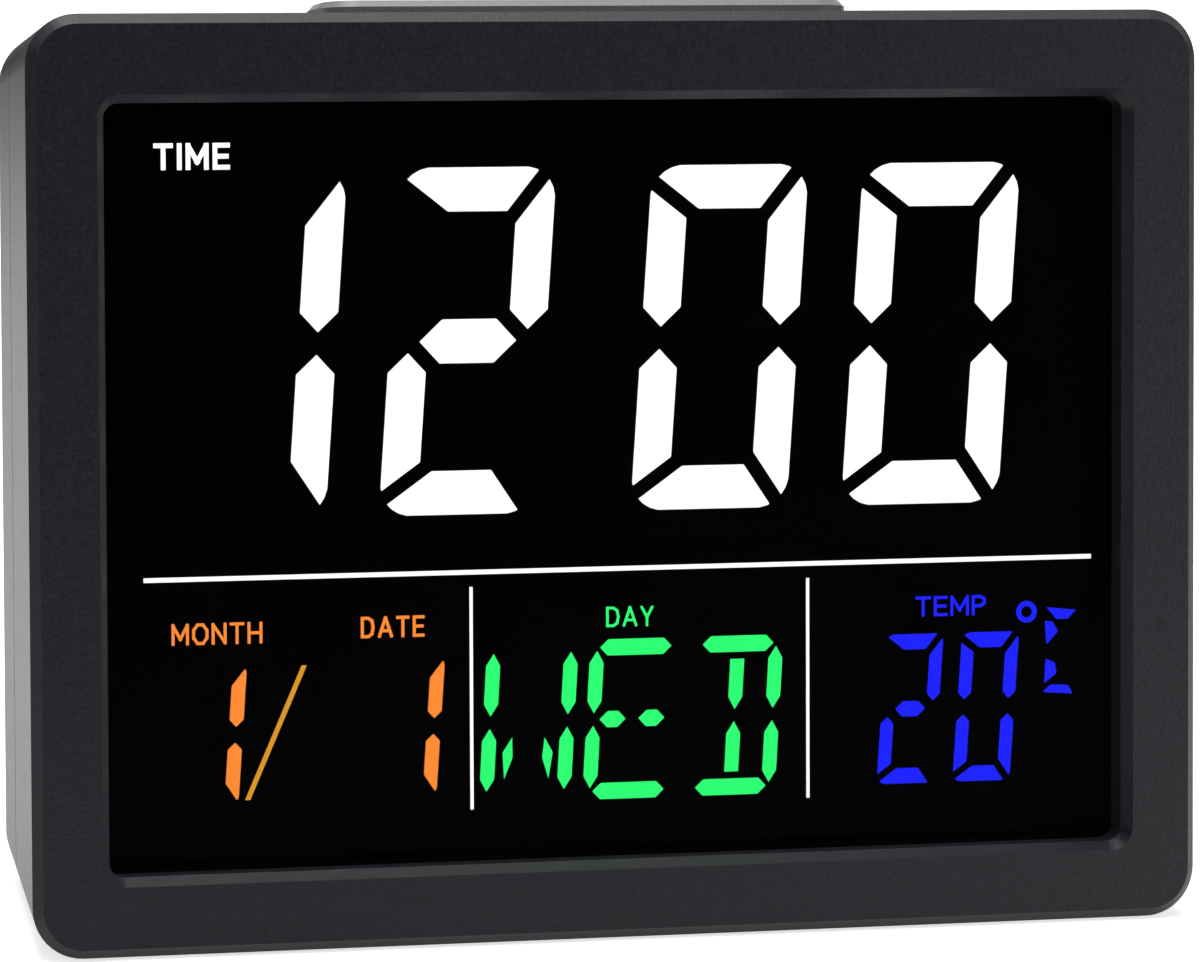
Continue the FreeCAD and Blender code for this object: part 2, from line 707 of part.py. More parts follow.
def battery_door():
    """Lift-off door with two locating tabs, a finger dip and the slots of its spring latch."""
    body = new_body("battery_door")
    half = f"({BAY_HALF_LENGTH} + bay_wall)"
    tall = f"({BAY_HALF_HEIGHT} + bay_wall)"
    plate = sketch_on(body, "plate", at=("0", BAY_Y, "0"))
    rounded(plate, f"-{half}", half, f"-{tall}", tall, "door_radius")
    pad(body, plate, "door_thickness", "door_plate")
    tabs = sketch_on(body, "tabs", at=("0", BAY_Y, "door_thickness / 2"))
    tab_y = f"({BAY_HALF_HEIGHT} - door_gap - door_tab_thickness / 2)"
    for sx in (-1, 1):
        rectangle(tabs, "door_tab_width", "door_tab_thickness", f"{sx} * {half} / 2", f"-{tab_y}")
    rectangle(tabs, "2 * door_tab_width", "door_tab_thickness", "0", tab_y)
    pad(body, tabs, "door_thickness / 2 + door_tab_reach", "door_tabs")
    slits = sketch_on(body, "latch_slits", at=("0", BAY_Y, "0"))
    for sx in (-1, 1):
        rectangle(slits, "latch_slit", "latch_length", f"{sx} * (door_tab_width + 3 * latch_slit / 2)",
                  f"{tall} - latch_length / 2")
    pocket(body, slits, "door_thickness", "latch_slit_cut")
    dip = sketch_on(body, "finger_dip", at=("0", f"{BAY_Y} + {tall} - latch_length / 2", "0"))
    half = "finger_dip_length / 2"
    tall = "finger_dip_width / 2"
    rounded(dip, f"-{half}", half, f"-{tall}", tall, "finger_dip_width / 3")
    pocket(body, dip, "finger_dip_depth", "finger_dip_cut")


def key(index):
    """A round key: cap, two retaining ears and the stem that presses its switch."""
    body = new_body(f"key_{KEYS[index]}")
    profile = sketch_on(body, "profile", "XZ_Plane", (key_place(index), "0", f"-{KEY_ROW}"))
    ear_start = f"({BACK_INSIDE} + plunger_gap)"
    cap_end = f"({ear_start} + key_flange_thickness)"
    polygon(profile, [
        ("0", "-key_rise"),
        ("key_radius - key_edge", "-key_rise"),
        ("key_radius", "-key_rise + key_edge"),
        ("key_radius", cap_end),
        ("0", cap_end),
    ])
    revolve(body, profile)
    ears = sketch_on(body, "ears", at=(key_place(index), KEY_ROW, ear_start))
    rectangle(ears, "2 * (key_radius + key_flange)", "key_ear_width")
    pad(body, ears, "key_flange_thickness", "key_ears")
    stem = sketch_on(body, "stem", at=(key_place(index), KEY_ROW, ear_start))
    rectangle(stem, "key_stem_side", "key_stem_side")
    pad(body, stem, f"{STEM_TIP} - {ear_start}", "key_stem")


def snooze_bar():
    """A long T-section bar, hollow below, with a post over its switch."""
    body = new_body("snooze_bar")
    near = f"({BAR_MIDDLE} + bar_width / 2)"
    far = f"({BAR_MIDDLE} - bar_width / 2)"
    near_flange = f"({near} + bar_flange)"
    far_flange = f"({far} - bar_flange)"

    def under_wall(z):
        return f"{outline(z, 'wall')[1]} - bar_seat_gap"

    section = sketch_on(body, "section", "YZ_Plane")
    polygon(section, [
        (f"{outline(far)[1]} + bar_rise", far),
        (f"{outline(near)[1]} + bar_rise", near),
        (FLANGE_BOTTOM, near),
        (FLANGE_BOTTOM, far),
    ])
    bar = pad(body, section, "bar_length", "bar_block", both=True)
    top = size(outline(far)[1])
    upright = fillet(body, bar, "bar_corner_radius",
                     lambda b: b.YLength > 1 and b.XLength < 0.01 and b.ZLength < 0.01, "bar_corners")
    bevel(body, upright, "bar_edge_chamfer", lambda b: b.YMin > top, "bar_edges")
    flange = sketch_on(body, "flange", "YZ_Plane")
    polygon(flange, [
        (under_wall(far_flange), far_flange),
        (under_wall(near_flange), near_flange),
        (FLANGE_BOTTOM, near_flange),
        (FLANGE_BOTTOM, far_flange),
    ])
    pad(body, flange, "bar_length - 2 * bar_corner_radius", "bar_flange_block", both=True)
    hollow = sketch_on(body, "hollow", "YZ_Plane")
    polygon(hollow, [
        (f"{outline(far)[1]} + bar_rise - bar_wall", f"{far} + bar_wall"),
        (f"{outline(near)[1]} + bar_rise - bar_wall", f"{near} - bar_wall"),
        (FLANGE_BOTTOM, f"{near} - bar_wall"),
        (FLANGE_BOTTOM, f"{far} + bar_wall"),
    ])
    pocket(body, hollow, "bar_length - 2 * bar_corner_radius", "bar_hollow", both=True)
    post = sketch_on(body, "post", "XZ_Plane", ("0", "0", f"-({TOP_WALL} + bar_rise - bar_wall / 2)"))
    rectangle(post, "bar_post_side", "bar_post_side", "0", BAR_MIDDLE)
    pad(body, post, f"{TOP_WALL} + bar_rise - bar_wall / 2 - {FLANGE_BOTTOM}", "bar_post")


# Display

def sheet_node(label, left, right, low, high, back, front):
    """A flat sheet of the display stack."""
    group(label, [box(left, right, low, high, back, front)])


def display():
    """Window, glass cell, colour film, light guide and reflector, from the front to the back."""
    window = new_body("display_window")
    pad(window, opening_outline(window, "outline", LENS_BACK, "lens_overlap"), "lens_thickness", "window_plate")
    guide_left = f"(-{TRAY_INSIDE} + stack_gap + led_board_thickness + led_thickness + stack_gap)"
    side = f"({GLASS_HALF})"
    sheet_node("front_glass", f"-{side}", side, f"-{GLASS_BOTTOM}", GLASS_TOP, GLASS_MIDDLE, GLASS_FRONT)
    glass_back = f"({GLASS_MIDDLE} - stack_gap)"
    sheet_node("rear_glass", f"-{side}", side, f"-{GLASS_BOTTOM}", REAR_GLASS_TOP, REAR_GLASS_BACK, glass_back)
    sheet_node("colour_film", f"-{side}", side, f"-{GLASS_BOTTOM}", REAR_GLASS_TOP, FILM_BACK,
               f"{REAR_GLASS_BACK} - stack_gap")
    sheet_node("light_guide", guide_left, side, f"-{GLASS_BOTTOM}", REAR_GLASS_TOP, GUIDE_BACK,
               f"{FILM_BACK} - stack_gap")
    sheet_node("reflector", guide_left, side, f"-{GLASS_BOTTOM}", REAR_GLASS_TOP, REFLECTOR_BACK,
               f"{GUIDE_BACK} - stack_gap")
    board_left = f"(-{TRAY_INSIDE} + stack_gap)"
    board_right = f"({board_left} + led_board_thickness)"
    sheet_node("backlight_board", board_left, board_right, f"-{GLASS_BOTTOM} + led_board_inset",
               f"{REAR_GLASS_TOP} - led_board_inset", REFLECTOR_BACK, f"{FILM_BACK} - stack_gap")
    lamps = []
    for i in range(LAMPS):
        middle = f"({i - (LAMPS - 1) / 2} * led_pitch)"
        lamps.append(box(board_right, f"{board_right} + led_thickness", f"{middle} - led_length / 2",
                         f"{middle} + led_length / 2", GUIDE_BACK, f"{FILM_BACK} - stack_gap", "lamp"))
    group("backlight_lamps", lamps)
    strip_low = f"({REAR_GLASS_TOP} + stack_gap)"
    group("zebra_strip", [box("-zebra_length / 2", "zebra_length / 2", strip_low, f"{strip_low} + zebra_thickness",
                              BOARD_FRONT, GLASS_MIDDLE)])


def display_tray():
    """The moulded tray that holds the stack, hangs on the front bosses and carries the main board."""
    body = new_body("display_tray")
    half = f"({TRAY_INSIDE} + tray_wall)"
    rim = sketch_on(body, "rim", at=("0", "0", TRAY_BACK))
    polygon(rim, [(f"-{half}", f"-({TRAY_BOTTOM} + tray_wall)"), (half, f"-({TRAY_BOTTOM} + tray_wall)"),
                  (half, f"{TRAY_TOP} + tray_wall"), (f"-{half}", f"{TRAY_TOP} + tray_wall")])
    pad(body, rim, f"{GLASS_FRONT} - {TRAY_BACK}", "tray_block")
    well = sketch_on(body, "well", at=("0", "0", TRAY_FLOOR_FRONT))
    polygon(well, [(f"-{TRAY_INSIDE}", f"-{TRAY_BOTTOM}"), (TRAY_INSIDE, f"-{TRAY_BOTTOM}"),
                   (TRAY_INSIDE, TRAY_TOP), (f"-{TRAY_INSIDE}", TRAY_TOP)])
    pocket(body, well, f"{GLASS_FRONT} - {TRAY_FLOOR_FRONT}", "tray_well")
    ears = sketch_on(body, "ears", at=("0", "0", TRAY_BACK))
    reach = f"({TRAY_BOSS_X} + ear_end - {TRAY_INSIDE})"
    for sx, sy in CORNERS:
        rectangle(ears, reach, "ear_width", f"{sx} * ({TRAY_INSIDE} + {reach} / 2)", f"{sy} * {TRAY_BOSS_Y}")
    pad(body, ears, "tray_floor", "tray_ears")
    posts = sketch_on(body, "posts", at=("0", "0", f"{SEAM} + stack_gap"))
    for x, y in case_screw_places():
        rectangle(posts, "post_side", "post_side", x, y)
    pad(body, posts, f"{TRAY_BACK} - {SEAM}", "tray_posts")
    standoffs = sketch_on(body, "standoffs", at=("0", "0", BOARD_FRONT))
    for x, y in board_screw_places():
        rectangle(standoffs, "standoff_side", "standoff_side", x, y)
    pad(body, standoffs, "standoff_height + tray_floor / 2", "tray_standoffs")
    pilots = [
        ("post_pilots", f"{SEAM} + stack_gap", "case_screw_length", "2 * (case_screw_radius + screw_clearance)",
         case_screw_places()),
        ("standoff_pilots", BOARD_FRONT, "standoff_height + tray_floor", PILOT_SIDE, board_screw_places()),
    ]
    for name, start, depth, side, places in pilots:
        sketch = sketch_on(body, name, at=("0", "0", start))
        for x, y in places:
            rectangle(sketch, side, side, x, y)
        pocket(body, sketch, depth, f"{name}_cut")
    ear_bores = sketch_on(body, "ear_bores", at=("0", "0", TRAY_BACK))
    for x, y in tray_screw_places():
        circle(ear_bores, "small_screw_radius + screw_clearance", x, y)
    pocket(body, ear_bores, "tray_floor", "ear_bores_cut")
    strip = sketch_on(body, "strip_slot", at=("0", "0", TRAY_BACK))
    rectangle(strip, "zebra_length + 2 * loose_gap", "zebra_thickness + 2 * stack_gap", "0",
              f"{REAR_GLASS_TOP} + stack_gap + zebra_thickness / 2")
    pocket(body, strip, "tray_floor", "strip_slot_cut")


# Boards and switches

def board(label, low, high, left, right, back, holes):
    """A circuit board with its screw holes."""
    body = new_body(label)
    sketch = sketch_on(body, "outline", at=("0", "0", back))
    polygon(sketch, [(left, low), (right, low), (right, high), (left, high)])
    for x, y in holes:
        circle(sketch, "small_screw_radius + board_hole_room", x, y)
    pad(body, sketch, "board_thickness", "board_plate")


def boards():
    board("main_board", f"-{MAIN_BOARD_LOW}", TRAY_TOP, f"-{MAIN_BOARD_HALF}", MAIN_BOARD_HALF, BOARD_BACK,
          board_screw_places())
    pegs = peg_places()
    tall = "key_board_height / 2"
    board("key_board", f"{KEY_ROW} - {tall}", f"{KEY_ROW} + {tall}", f"-{KEY_BOARD_HALF}", KEY_BOARD_HALF,
          "key_board_place", pegs[:2])
    half = "power_board_width / 2"
    tall = "power_board_height / 2"
    board("power_board", f"{SOCKET_Y} - {tall}", f"{SOCKET_Y} + {tall}", f"{SOCKET_X} - {half}",
          f"{SOCKET_X} + {half}", "key_board_place", pegs[2:])
    half = "snooze_board_length / 2"
    group("snooze_board", [box(f"-{half}", half, SHELF_TOP, SNOOZE_BOARD_TOP,
                               f"{BAR_MIDDLE} - snooze_board_width / 2", f"{BAR_MIDDLE} + snooze_board_width / 2")])


def key_block(index, side, low, high, name):
    """A square block behind a key, between two depths of the case."""
    x, half = key_place(index), f"({side}) / 2"
    return box(f"{x} - {half}", f"{x} + {half}", f"{KEY_ROW} - {half}", f"{KEY_ROW} + {half}", low, high, name)


def snooze_block(side, low, high, name):
    """A square block under the middle of the snooze bar, between two heights."""
    half = f"({side}) / 2"
    return box(f"-{half}", half, low, high, f"{BAR_MIDDLE} - {half}", f"{BAR_MIDDLE} + {half}", name)


def bored(block, bore, name):
    """A switch's body: its block less the bore that the plunger slides in."""
    made = doc.addObject("Part::Cut", name)
    made.Base = block
    made.Tool = bore
    return made


BORE_SIDE = "plunger_side + 2 * plunger_gap"


def switches():
    """Key switches as one group, the snooze switch, and every plunger as a piece of its own."""
    bore_end = f"({SWITCH_TOP} + switch_bore_depth)"
    bodies = []
    for i, name in enumerate(KEYS):
        block = key_block(i, "switch_side", SWITCH_TOP, "key_board_place", "switch_block")
        bodies.append(bored(block, key_block(i, BORE_SIDE, SWITCH_TOP, bore_end, "switch_bore"), "switch"))
        plunger_end = f"({STEM_TIP} + plunger_gap + switch_bore_depth)"
        group(f"plunger_{name}", [key_block(i, "plunger_side", STEM_TIP, plunger_end, "plunger")])
    group("key_switches", bodies)
    bore_end = f"({SNOOZE_SWITCH_TOP} - switch_bore_depth)"
    block = snooze_block("switch_side", SNOOZE_BOARD_TOP, SNOOZE_SWITCH_TOP, "snooze_body")
    bore = snooze_block(BORE_SIDE, bore_end, SNOOZE_SWITCH_TOP, "snooze_bore")
    group("snooze_switch", [bored(block, bore, "snooze_bored")])
    foot = f"({bore_end} + bar_travel + plunger_gap)"
    group("plunger_snooze", [snooze_block("plunger_side", foot, FLANGE_BOTTOM, "snooze_plunger")])


def electronics():
    """What the boards carry: controller, crystal, temperature sensor, ribbon, socket and buzzer."""
    half = "chip_side / 2"
    group("controller_chip", [box(f"chip_x - {half}", f"chip_x + {half}", f"chip_y - {half}", f"chip_y + {half}",
                                  f"{BOARD_BACK} - chip_thickness", BOARD_BACK)])
    group("quartz_crystal", [rod("crystal_radius", "crystal_length", "crystal_x", "crystal_y",
                                 f"{BOARD_BACK} - crystal_radius", "x", "can", FEW_SIDES)])
    key_front = "(key_board_place + board_thickness)"
    half = "sensor_width / 2"
    low = f"{SOCKET_Y} + sensor_offset - sensor_height / 2"
    group("temperature_sensor", [box(f"{SOCKET_X} - {half}", f"{SOCKET_X} + {half}", low, f"{low} + sensor_height",
                                     key_front, f"{key_front} + sensor_thickness")])
    group("buzzer", [rod("buzzer_radius", "buzzer_height", f"-{SOCKET_X}", SOCKET_Y, "wall")])
    ribbon = new_body("ribbon_cable")
    side = sketch_on(ribbon, "side", "YZ_Plane", ("0", "0", f"ribbon_inset - {MAIN_BOARD_HALF}"))
    low = f"({KEY_ROW} - ribbon_drop)"
    high = f"({low} + ribbon_step)"
    thin = "ribbon_thickness"
    bend = f"(({key_front} + {BOARD_BACK}) / 2)"
    polygon(side, [
        (high, key_front),
        (f"{high} + {thin}", key_front),
        (f"{high} + {thin}", f"{bend} + {thin} / 2"),
        (f"{low} + {thin}", f"{bend} + {thin} / 2"),
        (f"{low} + {thin}", BOARD_BACK),
        (low, BOARD_BACK),
        (low, f"{bend} - {thin} / 2"),
        (high, f"{bend} - {thin} / 2"),
    ])
    pad(ribbon, side, "ribbon_width", "ribbon_strip", both=True)
    socket = new_body("power_socket")
    shell = sketch_on(socket, "shell", at=(SOCKET_X, SOCKET_Y, "socket_setback"))
    half = "(socket_width / 2)"
    tall = "(socket_height / 2)"
    rounded(shell, f"-{half}", half, f"-{tall}", tall, f"{tall} - end_flat / 2")
    pad(socket, shell, "key_board_place - socket_setback", "socket_shell")
    mouth = sketch_on(socket, "mouth", at=(SOCKET_X, SOCKET_Y, "socket_setback"))
    half = "(socket_width / 2 - socket_wall)"
    tall = "(socket_height / 2 - socket_wall)"
    rounded(mouth, f"-{half}", half, f"-{tall}", tall, f"{tall} - end_flat / 2")
    pocket(socket, mouth, "socket_mouth", "mouth_cut")
    tongue = sketch_on(socket, "tongue", at=(SOCKET_X, SOCKET_Y, "socket_setback + tongue_setback"))
    rectangle(tongue, "tongue_width", "tongue_thickness")
    pad(socket, tongue, "socket_mouth", "socket_tongue")


# Battery cells and contacts

def cell_y(index):
    return f"({BAY_Y} + ({index} - (cell_count - 1) / 2) * (2 * cell_radius + cell_gap))"


def battery():
    """Three cells side by side, turned end for end, between a contact plate and a sprung leaf at each end."""
    cells = []
    plates = []
    leaves = []
    inside = BAY_HALF_LENGTH
    low_z = f"({CELL_PLACE} - contact_height / 2)"
    high_z = f"({CELL_PLACE} + contact_height / 2)"
    for i in range(int(size("cell_count"))):
        way = 1 if i % 2 else -1
        y = cell_y(i)
        plate_face = f"{way} * ({inside} - contact_thickness)"
        barrel_end = f"({plate_face} - {way} * cell_tip_height)"
        start = f"{barrel_end} - cell_length + cell_tip_height" if way > 0 else barrel_end
        barrel = rod("cell_radius", "cell_length - cell_tip_height", start, y, CELL_PLACE, "x", "barrel")
        tip_start = barrel_end if way > 0 else plate_face
        tip = rod("cell_tip_radius", "cell_tip_height", tip_start, y, CELL_PLACE, "x", "tip", FEW_SIDES)
        cells.append(fused([barrel, tip], "cell"))
        edges = sorted([f"{way} * {inside}", plate_face], key=size)
        plates.append(box(edges[0], edges[1], f"{y} - contact_height / 2", f"{y} + contact_height / 2",
                          low_z, high_z, "plate"))
        leaves.append(leaf(-way, y, low_z, high_z))
    group("battery_cells", cells)
    group("contact_plates", plates)
    group("contact_leaves", leaves)


def leaf(way, y, low, high):
    """A folded spring leaf between the bay's end wall and a cell's flat end, its outline seen from the side."""
    body = doc.addObject("PartDesign::Body", "leaf")
    side = sketch_on(body, "fold", "XZ_Plane", ("0", "0", f"-{y}"))
    reach = "(2 * bay_end_room - contact_thickness)"
    inner = "(leaf_flat / 2 - contact_thickness / 2)"
    corners = [
        ("0", low),
        (reach, f"{CELL_PLACE} - leaf_flat / 2"),
        (reach, f"{CELL_PLACE} + leaf_flat / 2"),
        ("leaf_tip_gap", f"{high} - leaf_tip_drop"),
        ("leaf_tip_gap", f"{high} - leaf_tip_drop - contact_thickness * 4 / 3"),
        (f"{reach} - contact_thickness", f"{CELL_PLACE} + {inner}"),
        (f"{reach} - contact_thickness", f"{CELL_PLACE} - {inner}"),
        ("contact_thickness", f"{low} + contact_thickness * 3 / 2"),
        ("contact_thickness", high),
        ("0", high),
    ]
    polygon(side, [(f"{way} * ({BAY_HALF_LENGTH} - ({out}))", z) for out, z in corners])
    pad(body, side, "cell_radius", "leaf_strip", both=True)
    return body


# Fasteners

def case_screw(x, y):
    """A screw in its well: round head, and a shank that reaches into the tray's post."""
    shank = rod("case_screw_radius", "case_screw_length", x, y, WELL_DEPTH, name="shank", sides=FEW_SIDES)
    head = rod("case_head_radius", "case_head_height", x, y, f"{WELL_DEPTH} - case_head_height", name="head")
    return fused([shank, head], "case_screw")


def small_screw(x, y, seat, from_back=True):
    """A small screw with its head against the surface at seat, driven from the back or from the front."""
    shank_start, head_start = (seat, f"{seat} - small_head_height")
    if not from_back:
        shank_start, head_start = (f"{seat} - small_screw_length", seat)
    shank = rod("small_screw_radius", "small_screw_length", x, y, shank_start, name="shank", sides=FEW_SIDES)
    head = rod("small_head_radius", "small_head_height", x, y, head_start, name="head", sides=FEW_SIDES)
    return fused([shank, head], "small_screw")


def fasteners():
    group("case_screws", [case_screw(x, y) for x, y in case_screw_places()])
    group("board_screws", [small_screw(x, y, BOARD_BACK) for x, y in board_screw_places()])
    group("tray_screws", [small_screw(x, y, TRAY_BACK) for x, y in tray_screw_places()])
    seat = "(key_board_place + board_thickness)"
    group("peg_screws", [small_screw(x, y, seat, from_back=False) for x, y in peg_places()])


front_shell()
rear_shell()
battery_door()
for number in range(len(KEYS)):
    key(number)
snooze_bar()
display()
display_tray()
boards()
switches()
electronics()
battery()
fasteners()
doc.recompute()

faults = [f"{thing.Name}: {thing.State}" for thing in doc.Objects if {"Invalid", "Error"} & set(thing.State)]
faults += [f"{thing.Label}: bad shape" for thing in nodes if thing.Shape.isNull() or not thing.Shape.isValid()]
if faults:
    raise RuntimeError("; ".join(faults))

os.makedirs("parts", exist_ok=True)
for thing in nodes:
    thing.Shape.exportStep(f"parts/{thing.Label}.step")
    solids = thing.Shape.Solids
    print(f"{thing.Label}: {len(solids)} solid(s), {thing.Shape.Volume:.0f} mm3")
everything = Part.makeCompound([thing.Shape for thing in nodes]).BoundBox
print(f"size {everything.XLength:.2f} x {everything.YLength:.2f} x {everything.ZLength:.2f} mm")
print(f"low corner {everything.XMin:.2f} {everything.YMin:.2f} {everything.ZMin:.2f}, lean {math.degrees(LEAN):.2f}")
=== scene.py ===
# %% [markdown]
# # A day clock for the table
# The clock is a dark plastic case that leans back on its own base. A deep frame surrounds a black
# display with large lit figures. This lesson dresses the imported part: it keeps every solid where
# it is, gives each one a finish, and adds only what is too thin to be a solid, the lit figures.

# %% Load the frame
import json
import math

import bpy
from mathutils import Matrix, Vector


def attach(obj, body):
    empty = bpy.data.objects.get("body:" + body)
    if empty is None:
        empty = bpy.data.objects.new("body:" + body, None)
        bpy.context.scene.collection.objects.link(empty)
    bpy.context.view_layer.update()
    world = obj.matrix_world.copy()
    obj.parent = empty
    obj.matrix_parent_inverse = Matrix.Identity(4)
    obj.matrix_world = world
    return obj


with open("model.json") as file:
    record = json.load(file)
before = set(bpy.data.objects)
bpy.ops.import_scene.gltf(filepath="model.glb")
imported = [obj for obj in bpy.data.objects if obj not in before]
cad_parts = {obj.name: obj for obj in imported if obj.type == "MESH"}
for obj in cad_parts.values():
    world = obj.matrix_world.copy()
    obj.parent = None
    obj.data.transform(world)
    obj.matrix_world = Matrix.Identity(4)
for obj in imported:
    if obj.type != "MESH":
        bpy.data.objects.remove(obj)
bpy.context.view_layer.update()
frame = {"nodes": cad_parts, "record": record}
nodes = frame["nodes"]

# %% [markdown]
# ## The case frame
# The figures lie on glass that leans back with the case. It is easiest to draw them in the case's
# own frame: x to the right, y up the face, z out towards the viewer. One matrix then leans them
# back and stands them on the table, just as the solids were.

# %% The case frame
FACE_HEIGHT = 0.112
CASE_DEPTH = 0.040
BASE_RISE = 0.0054
FACE_CHAMFER = 0.00125
BACK_CHAMFER = 0.0012
TOP_TAPER = 0.0028

lean = math.atan(BASE_RISE / CASE_DEPTH)
front_reach = (FACE_HEIGHT / 2 - FACE_CHAMFER) * math.sin(lean) + CASE_DEPTH * math.cos(lean)
back_reach = (FACE_HEIGHT / 2 - TOP_TAPER - BACK_CHAMFER) * math.sin(lean)
base_drop = FACE_HEIGHT / 2 * math.cos(lean) - CASE_DEPTH * math.sin(lean)
turn = Matrix.Rotation(math.pi / 2 - lean, 4, "X")
CASE = Matrix.Translation((0, (front_reach - back_reach) / 2, base_drop)) @ turn
print("lean in degrees:", round(math.degrees(lean), 2))
print("front edge at y", round(CASE.translation.y - front_reach, 5))

# %% [markdown]
# ## A first finish: moulded plastic
# Case plastic isn't smooth: the mould is spark-eroded, so the surface has a fine, even grain that
# breaks up reflections. A photograph of plastic as a texture would show its pixels close up, and
# it would carry somebody's light in it. A procedural noise keeps the same fineness at any
# distance, so each finish here is built from shader nodes: a colour, a roughness that wanders a
# little, and a small bump.

# %% A helper for procedural finishes
NOISE_DETAIL = 3
TINT_START = 0.3
TINT_END = 0.7
BUMP_SHARE = 0.25


def finish(name, colour, roughness, grain, bump, spread=0.06, tint=0.12, **sockets):
    """A material whose roughness, tint and bump follow noise of the given grain, in metres."""
    material = bpy.data.materials.new(name)
    material.use_nodes = True
    tree = material.node_tree
    shader = tree.nodes["Principled BSDF"]
    place = tree.nodes.new("ShaderNodeTexCoord")
    noise = tree.nodes.new("ShaderNodeTexNoise")
    noise.inputs["Scale"].default_value = 1 / grain
    noise.inputs["Detail"].default_value = NOISE_DETAIL
    tree.links.new(place.outputs["Object"], noise.inputs["Vector"])
    rough = tree.nodes.new("ShaderNodeMapRange")
    rough.inputs["To Min"].default_value = roughness - spread
    rough.inputs["To Max"].default_value = roughness + spread
    tree.links.new(noise.outputs["Fac"], rough.inputs["Value"])
    tree.links.new(rough.outputs["Result"], shader.inputs["Roughness"])
    ramp = tree.nodes.new("ShaderNodeValToRGB")
    ramp.color_ramp.elements[0].position = TINT_START
    ramp.color_ramp.elements[1].position = TINT_END
    ramp.color_ramp.elements[0].color = [c * (1 - tint) for c in colour] + [1]
    ramp.color_ramp.elements[1].color = [c * (1 + tint) for c in colour] + [1]
    tree.links.new(noise.outputs["Fac"], ramp.inputs["Fac"])
    tree.links.new(ramp.outputs["Color"], shader.inputs["Base Color"])
    relief = tree.nodes.new("ShaderNodeBump")
    relief.inputs["Strength"].default_value = bump
    relief.inputs["Distance"].default_value = grain * BUMP_SHARE
    tree.links.new(noise.outputs["Fac"], relief.inputs["Height"])
    tree.links.new(relief.outputs["Normal"], shader.inputs["Normal"])
    for socket, value in sockets.items():
        shader.inputs[socket.replace("_", " ")].default_value = value
    return material


def grey(value):
    """A display grey from 0 to 255 as the shader's linear value."""
    share = value / 255
    return share / 12.92 if share < 0.04045 else ((share + 0.055) / 1.055) ** 2.4


def colour(red, green, blue):
    return [grey(red), grey(green), grey(blue)]


print("mid grey 128 is", round(grey(128), 3), "in the shader")

# %% [markdown]
# ## Finishes for every slot
# Each solid names the material slot it was made for. A table from slot to finish dresses them
# all at once: each row gives a colour, a roughness, the grain in metres and the bump, and some rows
# add how far roughness and tint wander. The case is a charcoal plastic with a satin grain. The
# window is taken to be coated against reflections, because the display in the photograph stays
# black, so its refraction is set lower than plain acrylic's. What lies behind it is a dark glass
# cell, which reflects next to no light.

# %% Dress the solids
finishes = {
    "case_plastic": finish("charcoal_case", colour(24, 25, 31), 0.4, 0.00045, 0.33, 0.1, 0.3,
                           Specular_IOR_Level=0.26),
    # The snooze bar's grey is partly its own lighter tone and partly painted light: it is made lighter to
    # stand for the lamp above lighting its top.
    "bar_plastic": finish("bar_tone_and_painted_top_light", colour(118, 118, 122), 0.36, 0.0004, 0.08),
    "key_plastic": finish("satin_key", colour(70, 70, 74), 0.4, 0.0004, 0.08),
    "window_clear": finish("clear_window", colour(250, 250, 252), 0.03, 0.004, 0.002, 0.01, 0.0,
                           Transmission_Weight=1.0, IOR=1.3, Specular_IOR_Level=0.3),
    "cell_glass": finish("dark_cell", colour(3, 3, 4), 0.3, 0.0008, 0.02, Specular_IOR_Level=0.02),
    "colour_film": finish("printed_film", colour(30, 30, 34), 0.4, 0.001, 0.05),
    "light_guide": finish("light_guide", colour(225, 232, 235), 0.15, 0.0006, 0.1),
    "reflector": finish("white_sheet", colour(235, 235, 235), 0.35, 0.001, 0.05),
    "circuit_board": finish("green_board", colour(24, 92, 52), 0.35, 0.0012, 0.15),
    "lamp": finish("lamp_resin", colour(240, 225, 150), 0.3, 0.0008, 0.05),
    "zebra_rubber": finish("layered_rubber", colour(120, 120, 122), 0.7, 0.0003, 0.3),
    "tray_plastic": finish("white_tray", colour(222, 222, 218), 0.5, 0.0006, 0.1),
    "switch_plastic": finish("switch_plastic", colour(30, 30, 31), 0.45, 0.0005, 0.1),
    "plunger_plastic": finish("plunger_plastic", colour(150, 52, 44), 0.4, 0.0005, 0.1),
    "chip_resin": finish("chip_resin", colour(26, 26, 27), 0.6, 0.0003, 0.25),
    "crystal_can": finish("drawn_can", colour(200, 200, 202), 0.25, 0.0006, 0.1, Metallic=1.0),
    "sensor_resin": finish("sensor_resin", colour(232, 232, 228), 0.5, 0.0005, 0.1),
    "buzzer_case": finish("buzzer_case", colour(22, 22, 23), 0.3, 0.0006, 0.08),
    "ribbon": finish("ribbon_vinyl", colour(165, 165, 168), 0.5, 0.0008, 0.1),
    "socket_steel": finish("stamped_steel", colour(190, 190, 192), 0.3, 0.0005, 0.1, Metallic=1.0),
    "cell_jacket": finish("cell_jacket", colour(54, 96, 66), 0.3, 0.0009, 0.05),
    "contact_nickel": finish("nickel_plate", colour(205, 202, 195), 0.22, 0.0006, 0.06, Metallic=1.0),
    "screw_zinc": finish("zinc_screw", colour(195, 195, 198), 0.3, 0.0005, 0.12, Metallic=1.0),
}
for part in frame["record"]["subparts"]:
    mesh = nodes[part["node"]].data
    mesh.materials.clear()
    mesh.materials.append(finishes[part["material_slot"]])
print("finishes:", len(finishes))

# %% [markdown]
# ## Where the figures lie
# The liquid crystal layer is between two glasses. It is far thinner than a hair, so the figures
# are drawn as flat shapes a few hundredths of a millimetre in front of the cell, behind the
# window. Blender could light them with an image, but shapes stay sharp at any distance.

